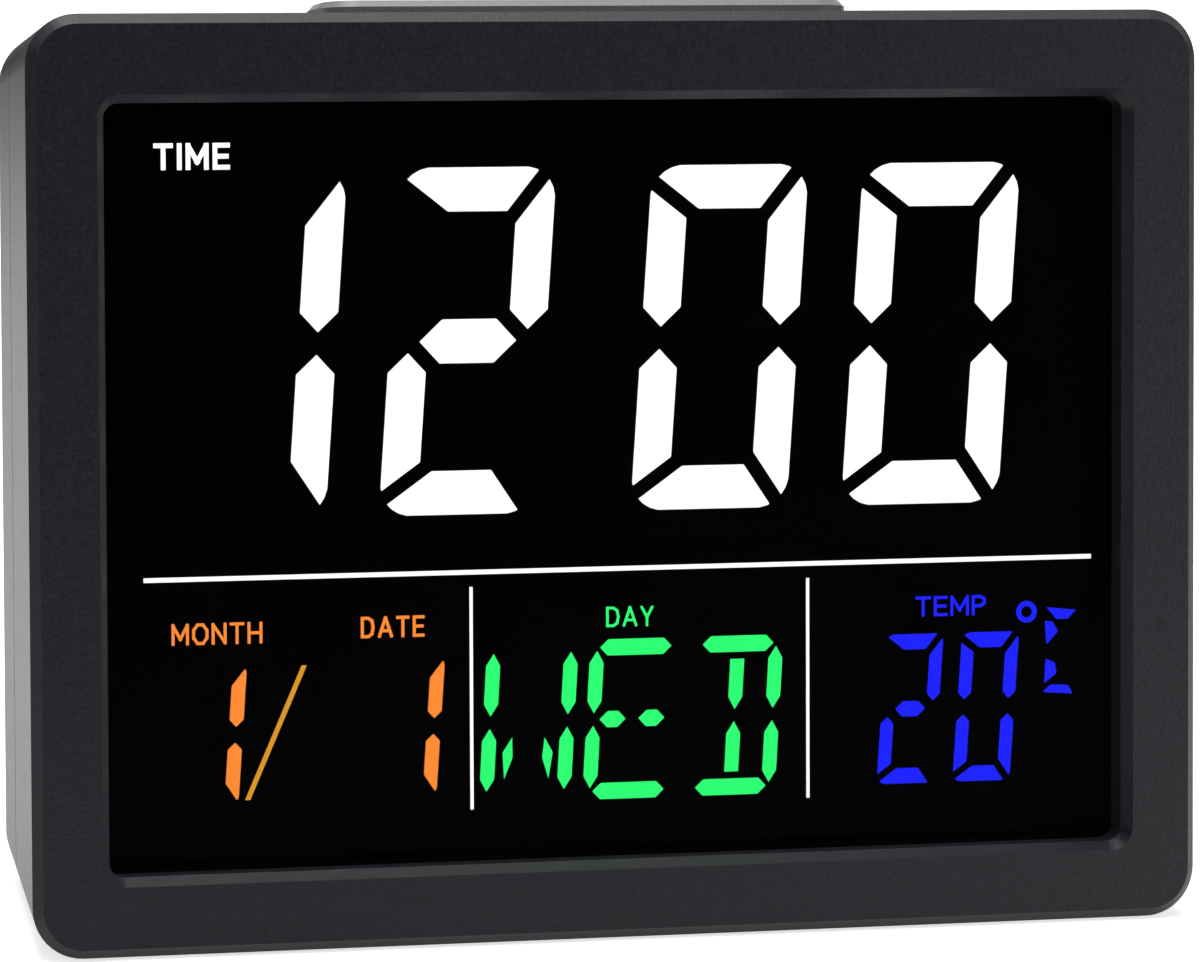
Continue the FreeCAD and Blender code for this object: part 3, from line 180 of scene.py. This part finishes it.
# %% The plane of the figures
WINDOW_BACK = 0.0335
CELL_FRONT = 0.0332
FIGURE_CLEARANCE = 0.00003
FIGURE_PLANE = CELL_FRONT + FIGURE_CLEARANCE
FIGURE_THICKNESS = 0.00003
SLANT = 0.07
print("room for the figures in mm:", round((WINDOW_BACK - FIGURE_PLANE) * 1000, 2))

# %% [markdown]
# ## One bar of a figure
# A seven-segment figure is made of bars with their corners cut off, so that neighbours don't
# touch. Each bar starts as a rectangle, and straight cuts take its corners away. A cut keeps
# what lies on one side of a line, which is a few lines of code and works for every bar.

# %% Cutting a flat outline
QUARTER_STEPS = 6


def cut(points, through, away):
    """What is left of an outline after the side of a line that points away is taken off."""
    kept = []
    for start, end in zip(points, points[1:] + points[:1]):
        first = (start - through).dot(away)
        last = (end - through).dot(away)
        if first <= 0:
            kept.append(start)
        if first * last < 0:
            kept.append(start.lerp(end, first / (first - last)))
    return kept


def block(left, right, low, high):
    return [Vector(p) for p in ((left, low), (right, low), (right, high), (left, high))]


def rounded_off(points, half_width, half_height, radius):
    """Cut the outer corners of a figure's outline to an arc of the given radius."""
    for sx in (-1, 1):
        for sy in (-1, 1):
            middle = Vector((sx * (half_width - radius), sy * (half_height - radius)))
            for step in range(1, QUARTER_STEPS):
                angle = step * math.pi / (2 * QUARTER_STEPS)
                away = Vector((sx * math.cos(angle), sy * math.sin(angle)))
                points = cut(points, middle + away * radius, away)
    return points


sample = cut(block(0, 1, 0, 1), Vector((0.5, 0.5)), Vector((1, 1)))
print("a unit square cut once has", len(sample), "corners")

# %% [markdown]
# ## A whole seven-segment figure
# The bars are named a to g, clockwise from the top, with g in the middle. The large figures on
# this clock have a style of their own: the left corners are cut at a flatter angle than the right
# ones, and the outer corners are round. The same function draws the small temperature figures.

# %% Seven bars
FIGURES = {"0": "abcdef", "1": "bc", "2": "abged"}
LEFT_SLOPE = 0.74
RIGHT_SLOPE = 1.35


def figure_bars(text, half_width, half_height, stroke, level, gap, seam, radius):
    """The outlines of one figure: upright bars of one stroke, level bars of another."""
    w, h, s = half_width, half_height, stroke
    slopes = {-1: LEFT_SLOPE, 1: RIGHT_SLOPE}
    sides = {"a": (0, 1), "b": (1, 1), "c": (1, -1), "d": (0, -1), "e": (-1, -1), "f": (-1, 1)}
    outlines = []
    for name in FIGURES[text]:
        if name == "g":
            reach = w - s / 2 - gap
            points = block(-reach, reach, -level / 2, level / 2)
            for sx, sy in ((-1, -1), (-1, 1), (1, -1), (1, 1)):
                points = cut(points, Vector((sx * reach, 0)), Vector((sx, sy)))
            outlines.append(points)
            continue
        across, up = sides[name]
        if across:
            points = block(*sorted((across * w, across * (w - s))), *sorted((0, up * h)))
            tip = Vector((across * (w - s / 2), up * gap))
            for sx in (-1, 1):
                points = cut(points, tip, Vector((sx, -up)))
        else:
            points = block(-w, w, *sorted((up * h, up * (h - level))))
        for sx in [across] if across else (-1, 1):
            inner = Vector((sx * (w - s), up * (h - level)))
            along = Vector((sx, up * slopes[sx])).normalized()
            away = Vector((-along.y, along.x))
            if (away.y * up > 0) != bool(across):
                away = -away
            points = cut(points, inner - away * seam / 2, away)
        outlines.append(rounded_off(points, w, h, radius))
    return outlines


for text in FIGURES:
    bars = figure_bars(text, 0.01, 0.021, 0.0045, 0.005, 0.0013, 0.0018, 0.004)
    print(text, "has bars with corners:", [len(bar) for bar in bars])

# %% [markdown]
# ## Turning outlines into a lit mesh
# All the shapes of one colour form one object, because one layer of the real display carries
# them. Each outline becomes a thin plate. The display's figures lean to the right, so
# a shear is applied about each figure's own middle.

# %% Build a lit layer
def shifted(outlines, x, y, slant=SLANT):
    return [[Vector((x + p.x + slant * p.y, y + p.y)) for p in outline] for outline in outlines]


def lit_layer(name, outlines, material):
    """One object of thin plates on the figure plane, riding with the case."""
    points = []
    faces = []
    for outline in outlines:
        first = len(points)
        count = len(outline)
        for height in (FIGURE_PLANE, FIGURE_PLANE + FIGURE_THICKNESS):
            points.extend(CASE @ Vector((p.x, p.y, height)) for p in outline)
        faces.append([first + i for i in reversed(range(count))])
        faces.append([first + count + i for i in range(count)])
        for i in range(count):
            after = (i + 1) % count
            faces.append([first + i, first + after, first + count + after, first + count + i])
    mesh = bpy.data.meshes.new(name)
    mesh.from_pydata(points, [], faces)
    mesh.materials.append(material)
    layer = bpy.data.objects.new(name, mesh)
    bpy.context.collection.objects.link(layer)
    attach(layer, "case")
    print(name, "has", len(outlines), "plates")


FILM_SHARE = 0.1


def lit(name, red, green, blue, strength):
    """A back-lit printed colour, with the faint grain of the film under it."""
    shade = colour(red, green, blue)
    return finish(name, [c * FILM_SHARE for c in shade], 0.5, 0.0003, 0.02, tint=0.05,
                  Specular_IOR_Level=0.0, Emission_Color=shade + [1], Emission_Strength=strength)


white_light = lit("white_figures", 255, 255, 255, 1.15)
orange_light = lit("orange_figures", 255, 140, 55, 1.02)
amber_light = lit("amber_slash", 221, 153, 42, 1.0)
green_light = lit("green_figures", 48, 255, 116, 1.0)
blue_light = lit("blue_figures", 32, 37, 255, 1.02)
print("lit colours:", [m.name for m in (white_light, orange_light, amber_light, green_light, blue_light)])

# %% [markdown]
# ## The time
# The photograph shows "1 2 0 0" across the upper part of the display, about 42 mm high, with no
# colon. The two pairs stand a little further apart than the figures within a pair.

# %% Large white figures
TIME_MIDDLE = 0.0164
TIME_HALF_HEIGHT = 0.0209
TIME_STROKE = 0.0047
TIME_LEVEL = 0.0053
TIME_GAP = 0.00135
TIME_SEAM = 0.0018
TIME_RADIUS = 0.0040
TIME_FIGURES = [("1", -0.04445, 0.0101), ("2", -0.01808, 0.0097), ("0", 0.01352, 0.0099),
                ("0", 0.04050, 0.0101)]

large = []
for text, x, half_width in TIME_FIGURES:
    bars = figure_bars(text, half_width, TIME_HALF_HEIGHT, TIME_STROKE, TIME_LEVEL, TIME_GAP, TIME_SEAM,
                       TIME_RADIUS)
    large.extend(shifted(bars, x, TIME_MIDDLE))
lit_layer("time_figures", large, white_light)

# %% [markdown]
# ## The fields below
# Thin white lines divide the lower part into three fields: month and date, day, temperature.
# They are printed with the figures, so they lie in the same plane.

# %% Dividing lines
DIVIDER_HALF = 0.00028
UPRIGHT_HALF = 0.0002
DIVIDER_Y = -0.01152
DIVIDER_LEFT = -0.0581
DIVIDER_RIGHT = 0.0613
UPRIGHTS = (-0.01785, 0.02464)
UPRIGHT_TOP = -0.0133
UPRIGHT_LOW = -0.0403

lines = [block(DIVIDER_LEFT, DIVIDER_RIGHT, DIVIDER_Y - DIVIDER_HALF, DIVIDER_Y + DIVIDER_HALF)]
for x in UPRIGHTS:
    lines.append(block(x - UPRIGHT_HALF, x + UPRIGHT_HALF, UPRIGHT_LOW, UPRIGHT_TOP))
lit_layer("dividing_lines", lines, white_light)

# %% [markdown]
# ## Month and date
# The orange field reads 1/1. Both figures are the plain 1, and the stroke between them is a thin
# slanting line in a yellower tone.

# %% Orange figures
DATE_HALF_WIDTH = 0.0036
DATE_HALF_HEIGHT = 0.0084
DATE_STROKE = 0.00172
DATE_LEVEL = 0.0018
SMALL_GAP = 0.00095
SMALL_SEAM = 0.0009
SMALL_RADIUS = 0.0012
ONES = ((-0.04975, -0.0303), (-0.02530, -0.0300))
SLASH_TOP = Vector((-0.03854, -0.0222))
SLASH_LOW = Vector((-0.04560, -0.0382))
SLASH_HALF = Vector((0.00032, 0))

dates = []
for x, y in ONES:
    bars = figure_bars("1", DATE_HALF_WIDTH, DATE_HALF_HEIGHT, DATE_STROKE, DATE_LEVEL, SMALL_GAP,
                       SMALL_SEAM, SMALL_RADIUS)
    dates.extend(shifted(bars, x, y))
lit_layer("date_figures", dates, orange_light)
slash = [SLASH_LOW - SLASH_HALF, SLASH_LOW + SLASH_HALF, SLASH_TOP + SLASH_HALF, SLASH_TOP - SLASH_HALF]
lit_layer("date_slash", [slash], amber_light)

# %% [markdown]
# ## The day of the week
# Letters need more bars than figures do. This display adds a middle upright and two short slanting
# bars, so that W, E and D read clearly. Most bars end in a point. The middle uprights of the D are
# square where a level bar lies across their end.

# %% Bars with pointed ends
POINT = 0.6


def column(x, near, far, stroke, square_far=False):
    """An upright bar with a pointed near end, and a pointed or square far end."""
    points = block(x - stroke / 2, x + stroke / 2, min(near, far), max(near, far))
    up = 1 if far > near else -1
    for y, way in ((near, -up),) if square_far else ((near, -up), (far, up)):
        for sx in (-1, 1):
            points = cut(points, Vector((x, y)), Vector((sx, way * POINT)))
    return points


def row(left, right, y, stroke):
    """A level bar with pointed ends."""
    points = block(left, right, y - stroke / 2, y + stroke / 2)
    for x, sx in ((left, -1), (right, 1)):
        for sy in (-1, 1):
            points = cut(points, Vector((x, y)), Vector((sx * POINT, sy * POINT)))
    return points


print("a pointed column has", len(column(0, 0.001, 0.008, 0.002)), "corners")

# %% Green letters
DAY_MIDDLE = -0.02985
DAY_PITCH = 0.01297
DAY_LAST_X = 0.01524
DAY_SLANT = 0.06
COLUMN_X = 0.00485
COLUMN_NEAR = 0.00075
COLUMN_FAR = 0.00835
MIDDLE_FAR = 0.0069
COLUMN_STROKE = 0.00178
ROW_Y = 0.00875
ROW_HALF = 0.0045
ROW_STROKE = 0.00200
ROW_BREAK = 0.0008
SLANT_PLACES = (Vector((-0.0024, -0.0044)), Vector((0.0025, -0.0045)))
SLANT_RIGHT = [Vector(p) for p in ((-0.00042, 0.00255), (-0.0006, 0.0001), (0.00033, -0.0025),
                                   (0.0007, 0.0007))]


def pair(x, far, square_far=False):
    """An upper and a lower upright bar in one column."""
    return [column(x, way * COLUMN_NEAR, way * far, COLUMN_STROKE, square_far) for way in (1, -1)]


def letter_bars(text):
    """The bars of one weekday letter, centred on the origin."""
    ends = [row(-ROW_HALF, ROW_HALF, way * ROW_Y, ROW_STROKE) for way in (1, -1)]
    if text == "E":
        halves = [row(-ROW_HALF + ROW_BREAK / 2, -ROW_BREAK, 0, ROW_STROKE),
                  row(ROW_BREAK, ROW_HALF - ROW_BREAK / 2, 0, ROW_STROKE)]
        return pair(-COLUMN_X, COLUMN_FAR) + ends + halves
    if text == "D":
        return pair(COLUMN_X, COLUMN_FAR) + ends + pair(0, MIDDLE_FAR, square_far=True)
    left, right = SLANT_PLACES
    slants = [[left + Vector((-p.x, p.y)) for p in reversed(SLANT_RIGHT)],
              [right + p for p in SLANT_RIGHT]]
    return pair(-COLUMN_X, COLUMN_FAR) + pair(COLUMN_X, COLUMN_FAR) + slants


letters = []
for step, text in enumerate("WED"):
    x = DAY_LAST_X + (step - 2) * DAY_PITCH
    letters.extend(shifted(letter_bars(text), x, DAY_MIDDLE, DAY_SLANT))
lit_layer("day_letters", letters, green_light)

# %% [markdown]
# ## The temperature
# The blue field reads 20 with a small degree ring and a C. The ring is a flat band: many short
# plates round a circle. The C is so small that its four bars are hardly more than slivers, so each
# is drawn by its own four corners.

# %% Blue figures
WARMTH_MIDDLE = -0.02975
WARMTH_HALF_WIDTH = 0.0037
WARMTH_HALF_HEIGHT = 0.0092
WARMTH_STROKE = 0.00165
WARMTH_LEVEL = 0.0019
WARMTH_PLACES = (0.0378, 0.0476)
UNIT_PLACE = Vector((0.0572, -0.0231))
UNIT_BARS = [
    [(-0.0017, 0.0054), (-0.0004, 0.0039), (0.0011, 0.0039), (0.0021, 0.0050)],
    [(-0.0019, 0.0037), (-0.0017, 0.0008), (-0.0002, 0.0024), (-0.0009, 0.0036)],
    [(-0.0018, -0.0010), (-0.0020, -0.0040), (-0.0004, -0.0028), (-0.0006, -0.0015)],
    [(-0.0022, -0.0051), (0.0017, -0.0054), (0.0011, -0.0043), (-0.0012, -0.0042)],
]
RING_PLACE = Vector((0.0529, -0.0182))
RING_OUTER = 0.00135
RING_INNER = 0.0007
RING_STEPS = 24

warmth = []
for text, x in zip("20", WARMTH_PLACES):
    bars = figure_bars(text, WARMTH_HALF_WIDTH, WARMTH_HALF_HEIGHT, WARMTH_STROKE, WARMTH_LEVEL, SMALL_GAP,
                       SMALL_SEAM, SMALL_RADIUS)
    warmth.extend(shifted(bars, x, WARMTH_MIDDLE))
warmth.extend([UNIT_PLACE + Vector(p) for p in bar] for bar in UNIT_BARS)
rim = [Vector((math.cos(i * math.tau / RING_STEPS), math.sin(i * math.tau / RING_STEPS)))
       for i in range(RING_STEPS + 1)]
for start, end in zip(rim, rim[1:]):
    warmth.append([RING_PLACE + start * RING_INNER, RING_PLACE + start * RING_OUTER,
                   RING_PLACE + end * RING_OUTER, RING_PLACE + end * RING_INNER])
lit_layer("temperature_figures", warmth, blue_light)

# %% [markdown]
# ## The field names
# Small plain capitals name each field, and TIME is bolder than the rest. A thickened font closes
# the M at this size, so each letter is a few straight strokes instead. A stroke is a rectangle
# round its centre line, and cuts keep it inside the letter's box.

# %% Strokes of a letter
STROKES = {
    "A": (0.80, [[(0, 0), (0.5, 1), (1, 0)], [(0.2, 0.3), (0.8, 0.3)]]),
    "D": (0.72, [[(0, 0), (0, 1), (0.55, 1), (0.88, 0.85), (1, 0.5), (0.88, 0.15), (0.55, 0), (0, 0)]]),
    "E": (0.58, [[(1, 1), (0, 1), (0, 0), (1, 0)], [(0, 0.5), (0.9, 0.5)]]),
    "H": (0.70, [[(0, 0), (0, 1)], [(1, 0), (1, 1)], [(0, 0.5), (1, 0.5)]]),
    "I": (0.00, [[(0, 0), (0, 1)]]),
    "M": (0.84, [[(0, 0), (0, 1), (0.5, 0.25), (1, 1), (1, 0)]]),
    "N": (0.70, [[(0, 0), (0, 1), (1, 0), (1, 1)]]),
    "O": (0.78, [[(0.3, 0), (0, 0.3), (0, 0.7), (0.3, 1), (0.7, 1), (1, 0.7), (1, 0.3), (0.7, 0),
                  (0.3, 0)]]),
    "P": (0.60, [[(0, 0), (0, 1), (0.65, 1), (1, 0.85), (1, 0.62), (0.65, 0.46), (0, 0.46)]]),
    "T": (0.68, [[(0, 1), (1, 1)], [(0.5, 0), (0.5, 1)]]),
    "Y": (0.70, [[(0, 1), (0.5, 0.45), (1, 1)], [(0.5, 0), (0.5, 0.45)]]),
}


def stroke_plate(start, end, stroke):
    """The rectangle round a centre line, with square ends."""
    along = (end - start).normalized() * stroke / 2
    across = Vector((-along.y, along.x))
    return [start - along - across, end + along - across, end + along + across, start - along + across]


def letter_plates(text, left, low, width, height, stroke):
    """The plates of one letter, cut to the box round its ink."""
    half = stroke / 2
    first = (left, low)
    last = (left + width + stroke, low + height)
    plates = []
    for line in STROKES[text][1]:
        points = [Vector((left + half + x * width, low + half + y * (height - stroke)))
                  for x, y in line]
        for start, end in zip(points, points[1:]):
            plate = stroke_plate(start, end, stroke)
            for corner, away in ((first, (-1, 0)), (first, (0, -1)), (last, (1, 0)), (last, (0, 1))):
                plate = cut(plate, Vector(corner), Vector(away))
            plates.append(plate)
    return plates


print("letters:", "".join(STROKES))

# %% [markdown]
# A word is fitted to the width it has in the photograph: its strokes and gaps keep their size, and
# the letters share what is left.

# %% Field names
LETTER_GAP = 0.15
LABELS = [
    ("TIME", -0.05650, 0.03730, 0.0093, 0.0032, 0.00058, white_light),
    ("MONTH", -0.05475, -0.01940, 0.0111, 0.0026, 0.00036, orange_light),
    ("DATE", -0.03155, -0.01915, 0.0079, 0.0026, 0.00038, orange_light),
    ("DAY", -0.00095, -0.01865, 0.0060, 0.0025, 0.00033, green_light),
    ("TEMP", 0.03850, -0.01845, 0.0091, 0.0025, 0.00038, blue_light),
]

for text, left, low, width, height, stroke, material in LABELS:
    gap = LETTER_GAP * height
    free = width - len(text) * stroke - (len(text) - 1) * gap
    share = free / sum(STROKES[letter][0] for letter in text)
    plates = []
    x = left
    for letter in text:
        wide = STROKES[letter][0] * share
        plates.extend(letter_plates(letter, x, low, wide, height, stroke))
        x += wide + stroke + gap
    lit_layer(f"name_{text.lower()}", plates, material)

# %% [markdown]
# ## The floor and the light
# A product photograph has a white surround, and its light comes from large soft sources, so that
# edges show as long gentle highlights. The floor and world are white only for rays that come
# from the camera or from a reflection. The light on the clock itself stays at a plain level.

# %% A white surround
WHITE = (1, 1, 1, 1)
SKY_STRENGTH = 0.25
SEEN_STRENGTH = 1.0


def seen_white(tree, shaded, white):
    """Mix a shaded surface with plain white for camera, mirror and glass rays."""
    rays = tree.nodes.new("ShaderNodeLightPath")
    add = tree.nodes.new("ShaderNodeMath")
    add.operation = "MAXIMUM"
    tree.links.new(rays.outputs["Is Camera Ray"], add.inputs[0])
    tree.links.new(rays.outputs["Is Glossy Ray"], add.inputs[1])
    both = tree.nodes.new("ShaderNodeMath")
    both.operation = "MAXIMUM"
    tree.links.new(add.outputs["Value"], both.inputs[0])
    tree.links.new(rays.outputs["Is Transmission Ray"], both.inputs[1])
    mix = tree.nodes.new("ShaderNodeMixShader")
    tree.links.new(both.outputs["Value"], mix.inputs["Fac"])
    tree.links.new(shaded, mix.inputs[1])
    tree.links.new(white, mix.inputs[2])
    return mix.outputs["Shader"]


world = bpy.data.worlds.new("soft_white")
bpy.context.scene.world = world
world.use_nodes = True
sky = world.node_tree
plain = sky.nodes["Background"]
plain.inputs["Color"].default_value = WHITE
plain.inputs["Strength"].default_value = SKY_STRENGTH
bright = sky.nodes.new("ShaderNodeBackground")
bright.inputs["Color"].default_value = WHITE
bright.inputs["Strength"].default_value = SEEN_STRENGTH
sky.links.new(seen_white(sky, plain.outputs["Background"], bright.outputs["Background"]),
              sky.nodes["World Output"].inputs["Surface"])
print(world.name, "lights with strength", SKY_STRENGTH, "and is seen with", SEEN_STRENGTH)

# %% [markdown]
# The floor can't be replaced by plain white, because the clock's shadow on it would go too. For the
# rays that see it, a glow is added to the lit paint instead. Open floor then reaches white, and the
# shadow under the clock stays.

# %% The floor
FLOOR_SIZE = 6.0
FLOOR_DROP = 0.0002
FLOOR_GLOW = 0.68
bpy.ops.mesh.primitive_plane_add(size=FLOOR_SIZE, location=(0, 0, -FLOOR_DROP))
floor = bpy.context.object
floor.name = "floor"
paint = finish("floor_paint", colour(244, 244, 244), 0.8, 0.01, 0.02, tint=0.01)
cover = paint.node_tree
glow = cover.nodes.new("ShaderNodeEmission")
glow.inputs["Color"].default_value = WHITE
glow.inputs["Strength"].default_value = FLOOR_GLOW
lifted = cover.nodes.new("ShaderNodeAddShader")
cover.links.new(cover.nodes["Principled BSDF"].outputs["BSDF"], lifted.inputs[0])
cover.links.new(glow.outputs["Emission"], lifted.inputs[1])
seen = seen_white(cover, cover.nodes["Principled BSDF"].outputs["BSDF"], lifted.outputs["Shader"])
cover.links.new(seen, cover.nodes["Material Output"].inputs["Surface"])
floor.data.materials.append(paint)
print("floor is", FLOOR_SIZE, "m wide")

# %% [markdown]
# ## Dark cards for the reflections
# A flat window shows whatever stands in the mirror's direction, and in the photograph that is
# something dark, so the display stays black. A studio uses black cards for this. One stands in
# front, opposite the camera's side, and reaches further left than right: the satin face then grows
# lighter towards its right side, as in the photograph. Cards on the left and right darken the
# narrow edges that face them, and two behind keep the side wall from mirroring too much white,
# above all at its upper end. Only reflections can see them.

# %% The dark cards
CLOCK_MIDDLE = Vector((0, 0, 0.055))
card_paper = finish("card_paper", colour(6, 6, 7), 0.9, 0.002, 0.05, Specular_IOR_Level=0.0)


def dark_card(name, azimuth, rise, distance, left, right, low, high):
    """A card square to a direction, with its edges measured from the line to the clock."""
    azimuth, rise = math.radians(azimuth), math.radians(rise)
    outward = Vector((math.sin(azimuth) * math.cos(rise), -math.cos(azimuth) * math.cos(rise),
                      math.sin(rise)))
    across = Vector((math.cos(azimuth), math.sin(azimuth), 0))
    up = outward.cross(across)
    middle = CLOCK_MIDDLE + outward * distance + across * (left + right) / 2 + up * (low + high) / 2
    bpy.ops.mesh.primitive_plane_add(size=1, location=middle)
    card = bpy.context.object
    card.name = name
    card.scale = (right - left, high - low, 1)
    card.rotation_euler = Matrix((across, up, across.cross(up))).transposed().to_euler()
    card.data.materials.append(card_paper)
    card.visible_camera = False
    card.visible_diffuse = False
    card.visible_shadow = False
    print(name, "is", round(distance, 2), "m away, its middle", [round(v, 2) for v in middle])


dark_card("front_card", 15.5, 15, 0.38, -0.55, 0.14, -0.45, 0.14)
dark_card("left_card", -76, 8, 0.6, -0.3, 0.3, -0.35, 0.25)
dark_card("rear_card", -165, 0, 0.6, -0.1, 0.1, -0.06, 0.3)
dark_card("high_card", -165, 0, 0.2, 0.0, 0.14, 0.025, 0.055)
dark_card("right_card", 106, 0, 0.6, -0.15, 0.15, -0.2, 0.2)

# %% [markdown]
# ## Soft lamps
# A small lamp would draw hard shadows and sharp glints, so all three are wide area lamps. The one
# above gives most of the light. The one behind on the left lights the side wall, and a weak one at
# the front right, low down, lifts the face a little.

# %% Soft lamps
def softbox(name, place, aim, width, height, power):
    lamp = bpy.data.lights.new(name, "AREA")
    lamp.shape = "RECTANGLE"
    lamp.size = width
    lamp.size_y = height
    lamp.energy = power
    holder = bpy.data.objects.new(name, lamp)
    bpy.context.collection.objects.link(holder)
    holder.location = place
    holder.rotation_euler = (Vector(aim) - Vector(place)).to_track_quat("-Z", "Y").to_euler()
    print(name, "is", round((Vector(aim) - Vector(place)).length, 2), "m away")


softbox("side_light", (-0.9, 0.75, 0.4), CLOCK_MIDDLE, 0.7, 0.7, 1.5)
softbox("top_light", (-0.05, 0.0, 1.2), CLOCK_MIDDLE, 1.0, 0.7, 13)
softbox("front_light", (0.4, -0.4, 0.05), CLOCK_MIDDLE, 0.4, 0.2, 0.7)

# %% [markdown]
# ## The camera
# The photograph was taken from the left at a long distance: the left side wall shows as a thin
# bright strip, and almost nothing of the top. The camera stands where it puts the face's corners
# on the photograph's.

# %% The camera
SWING = math.radians(15.5)
DIP = math.radians(3.886)
ROLL = math.radians(-0.215)
AIM_DISTANCE = 0.837688
AIM = Vector((-0.003422, 0, -0.000391))
FOCAL_PIXELS = 6970.103
IMAGE_WIDTH = 1200
SENSOR = 36.0
NEAREST_SIGHT = 0.01

to_case = Matrix(((1, 0, 0, 0), (0, 0, 1, 0), (0, -1, 0, CASE_DEPTH), (0, 0, 0, 1)))
forward = Vector((math.sin(SWING) * math.cos(DIP), math.cos(SWING) * math.cos(DIP), -math.sin(DIP)))
side = forward.cross(Vector((0, 0, 1))).normalized()
rise = side.cross(forward)
right = side * math.cos(ROLL) + rise * math.sin(ROLL)
top = rise * math.cos(ROLL) - side * math.sin(ROLL)
stand = Matrix((right, top, -forward)).transposed().to_4x4()
stand.translation = AIM - forward * AIM_DISTANCE

lens = bpy.data.cameras.new("camera")
lens.sensor_width = SENSOR
lens.lens = FOCAL_PIXELS / IMAGE_WIDTH * SENSOR
lens.clip_start = NEAREST_SIGHT
camera = bpy.data.objects.new("camera", lens)
bpy.context.collection.objects.link(camera)
camera.matrix_world = CASE @ to_case @ stand
bpy.context.scene.camera = camera
print("camera at", [round(v, 3) for v in camera.matrix_world.translation], "lens", round(lens.lens, 1))

# %% [markdown]
# Blender's usual view transform softens bright tones. The Standard one shows a colour about as it
# is written, so the render can be held against the photograph.

bpy.context.scene.view_settings.view_transform = "Standard"
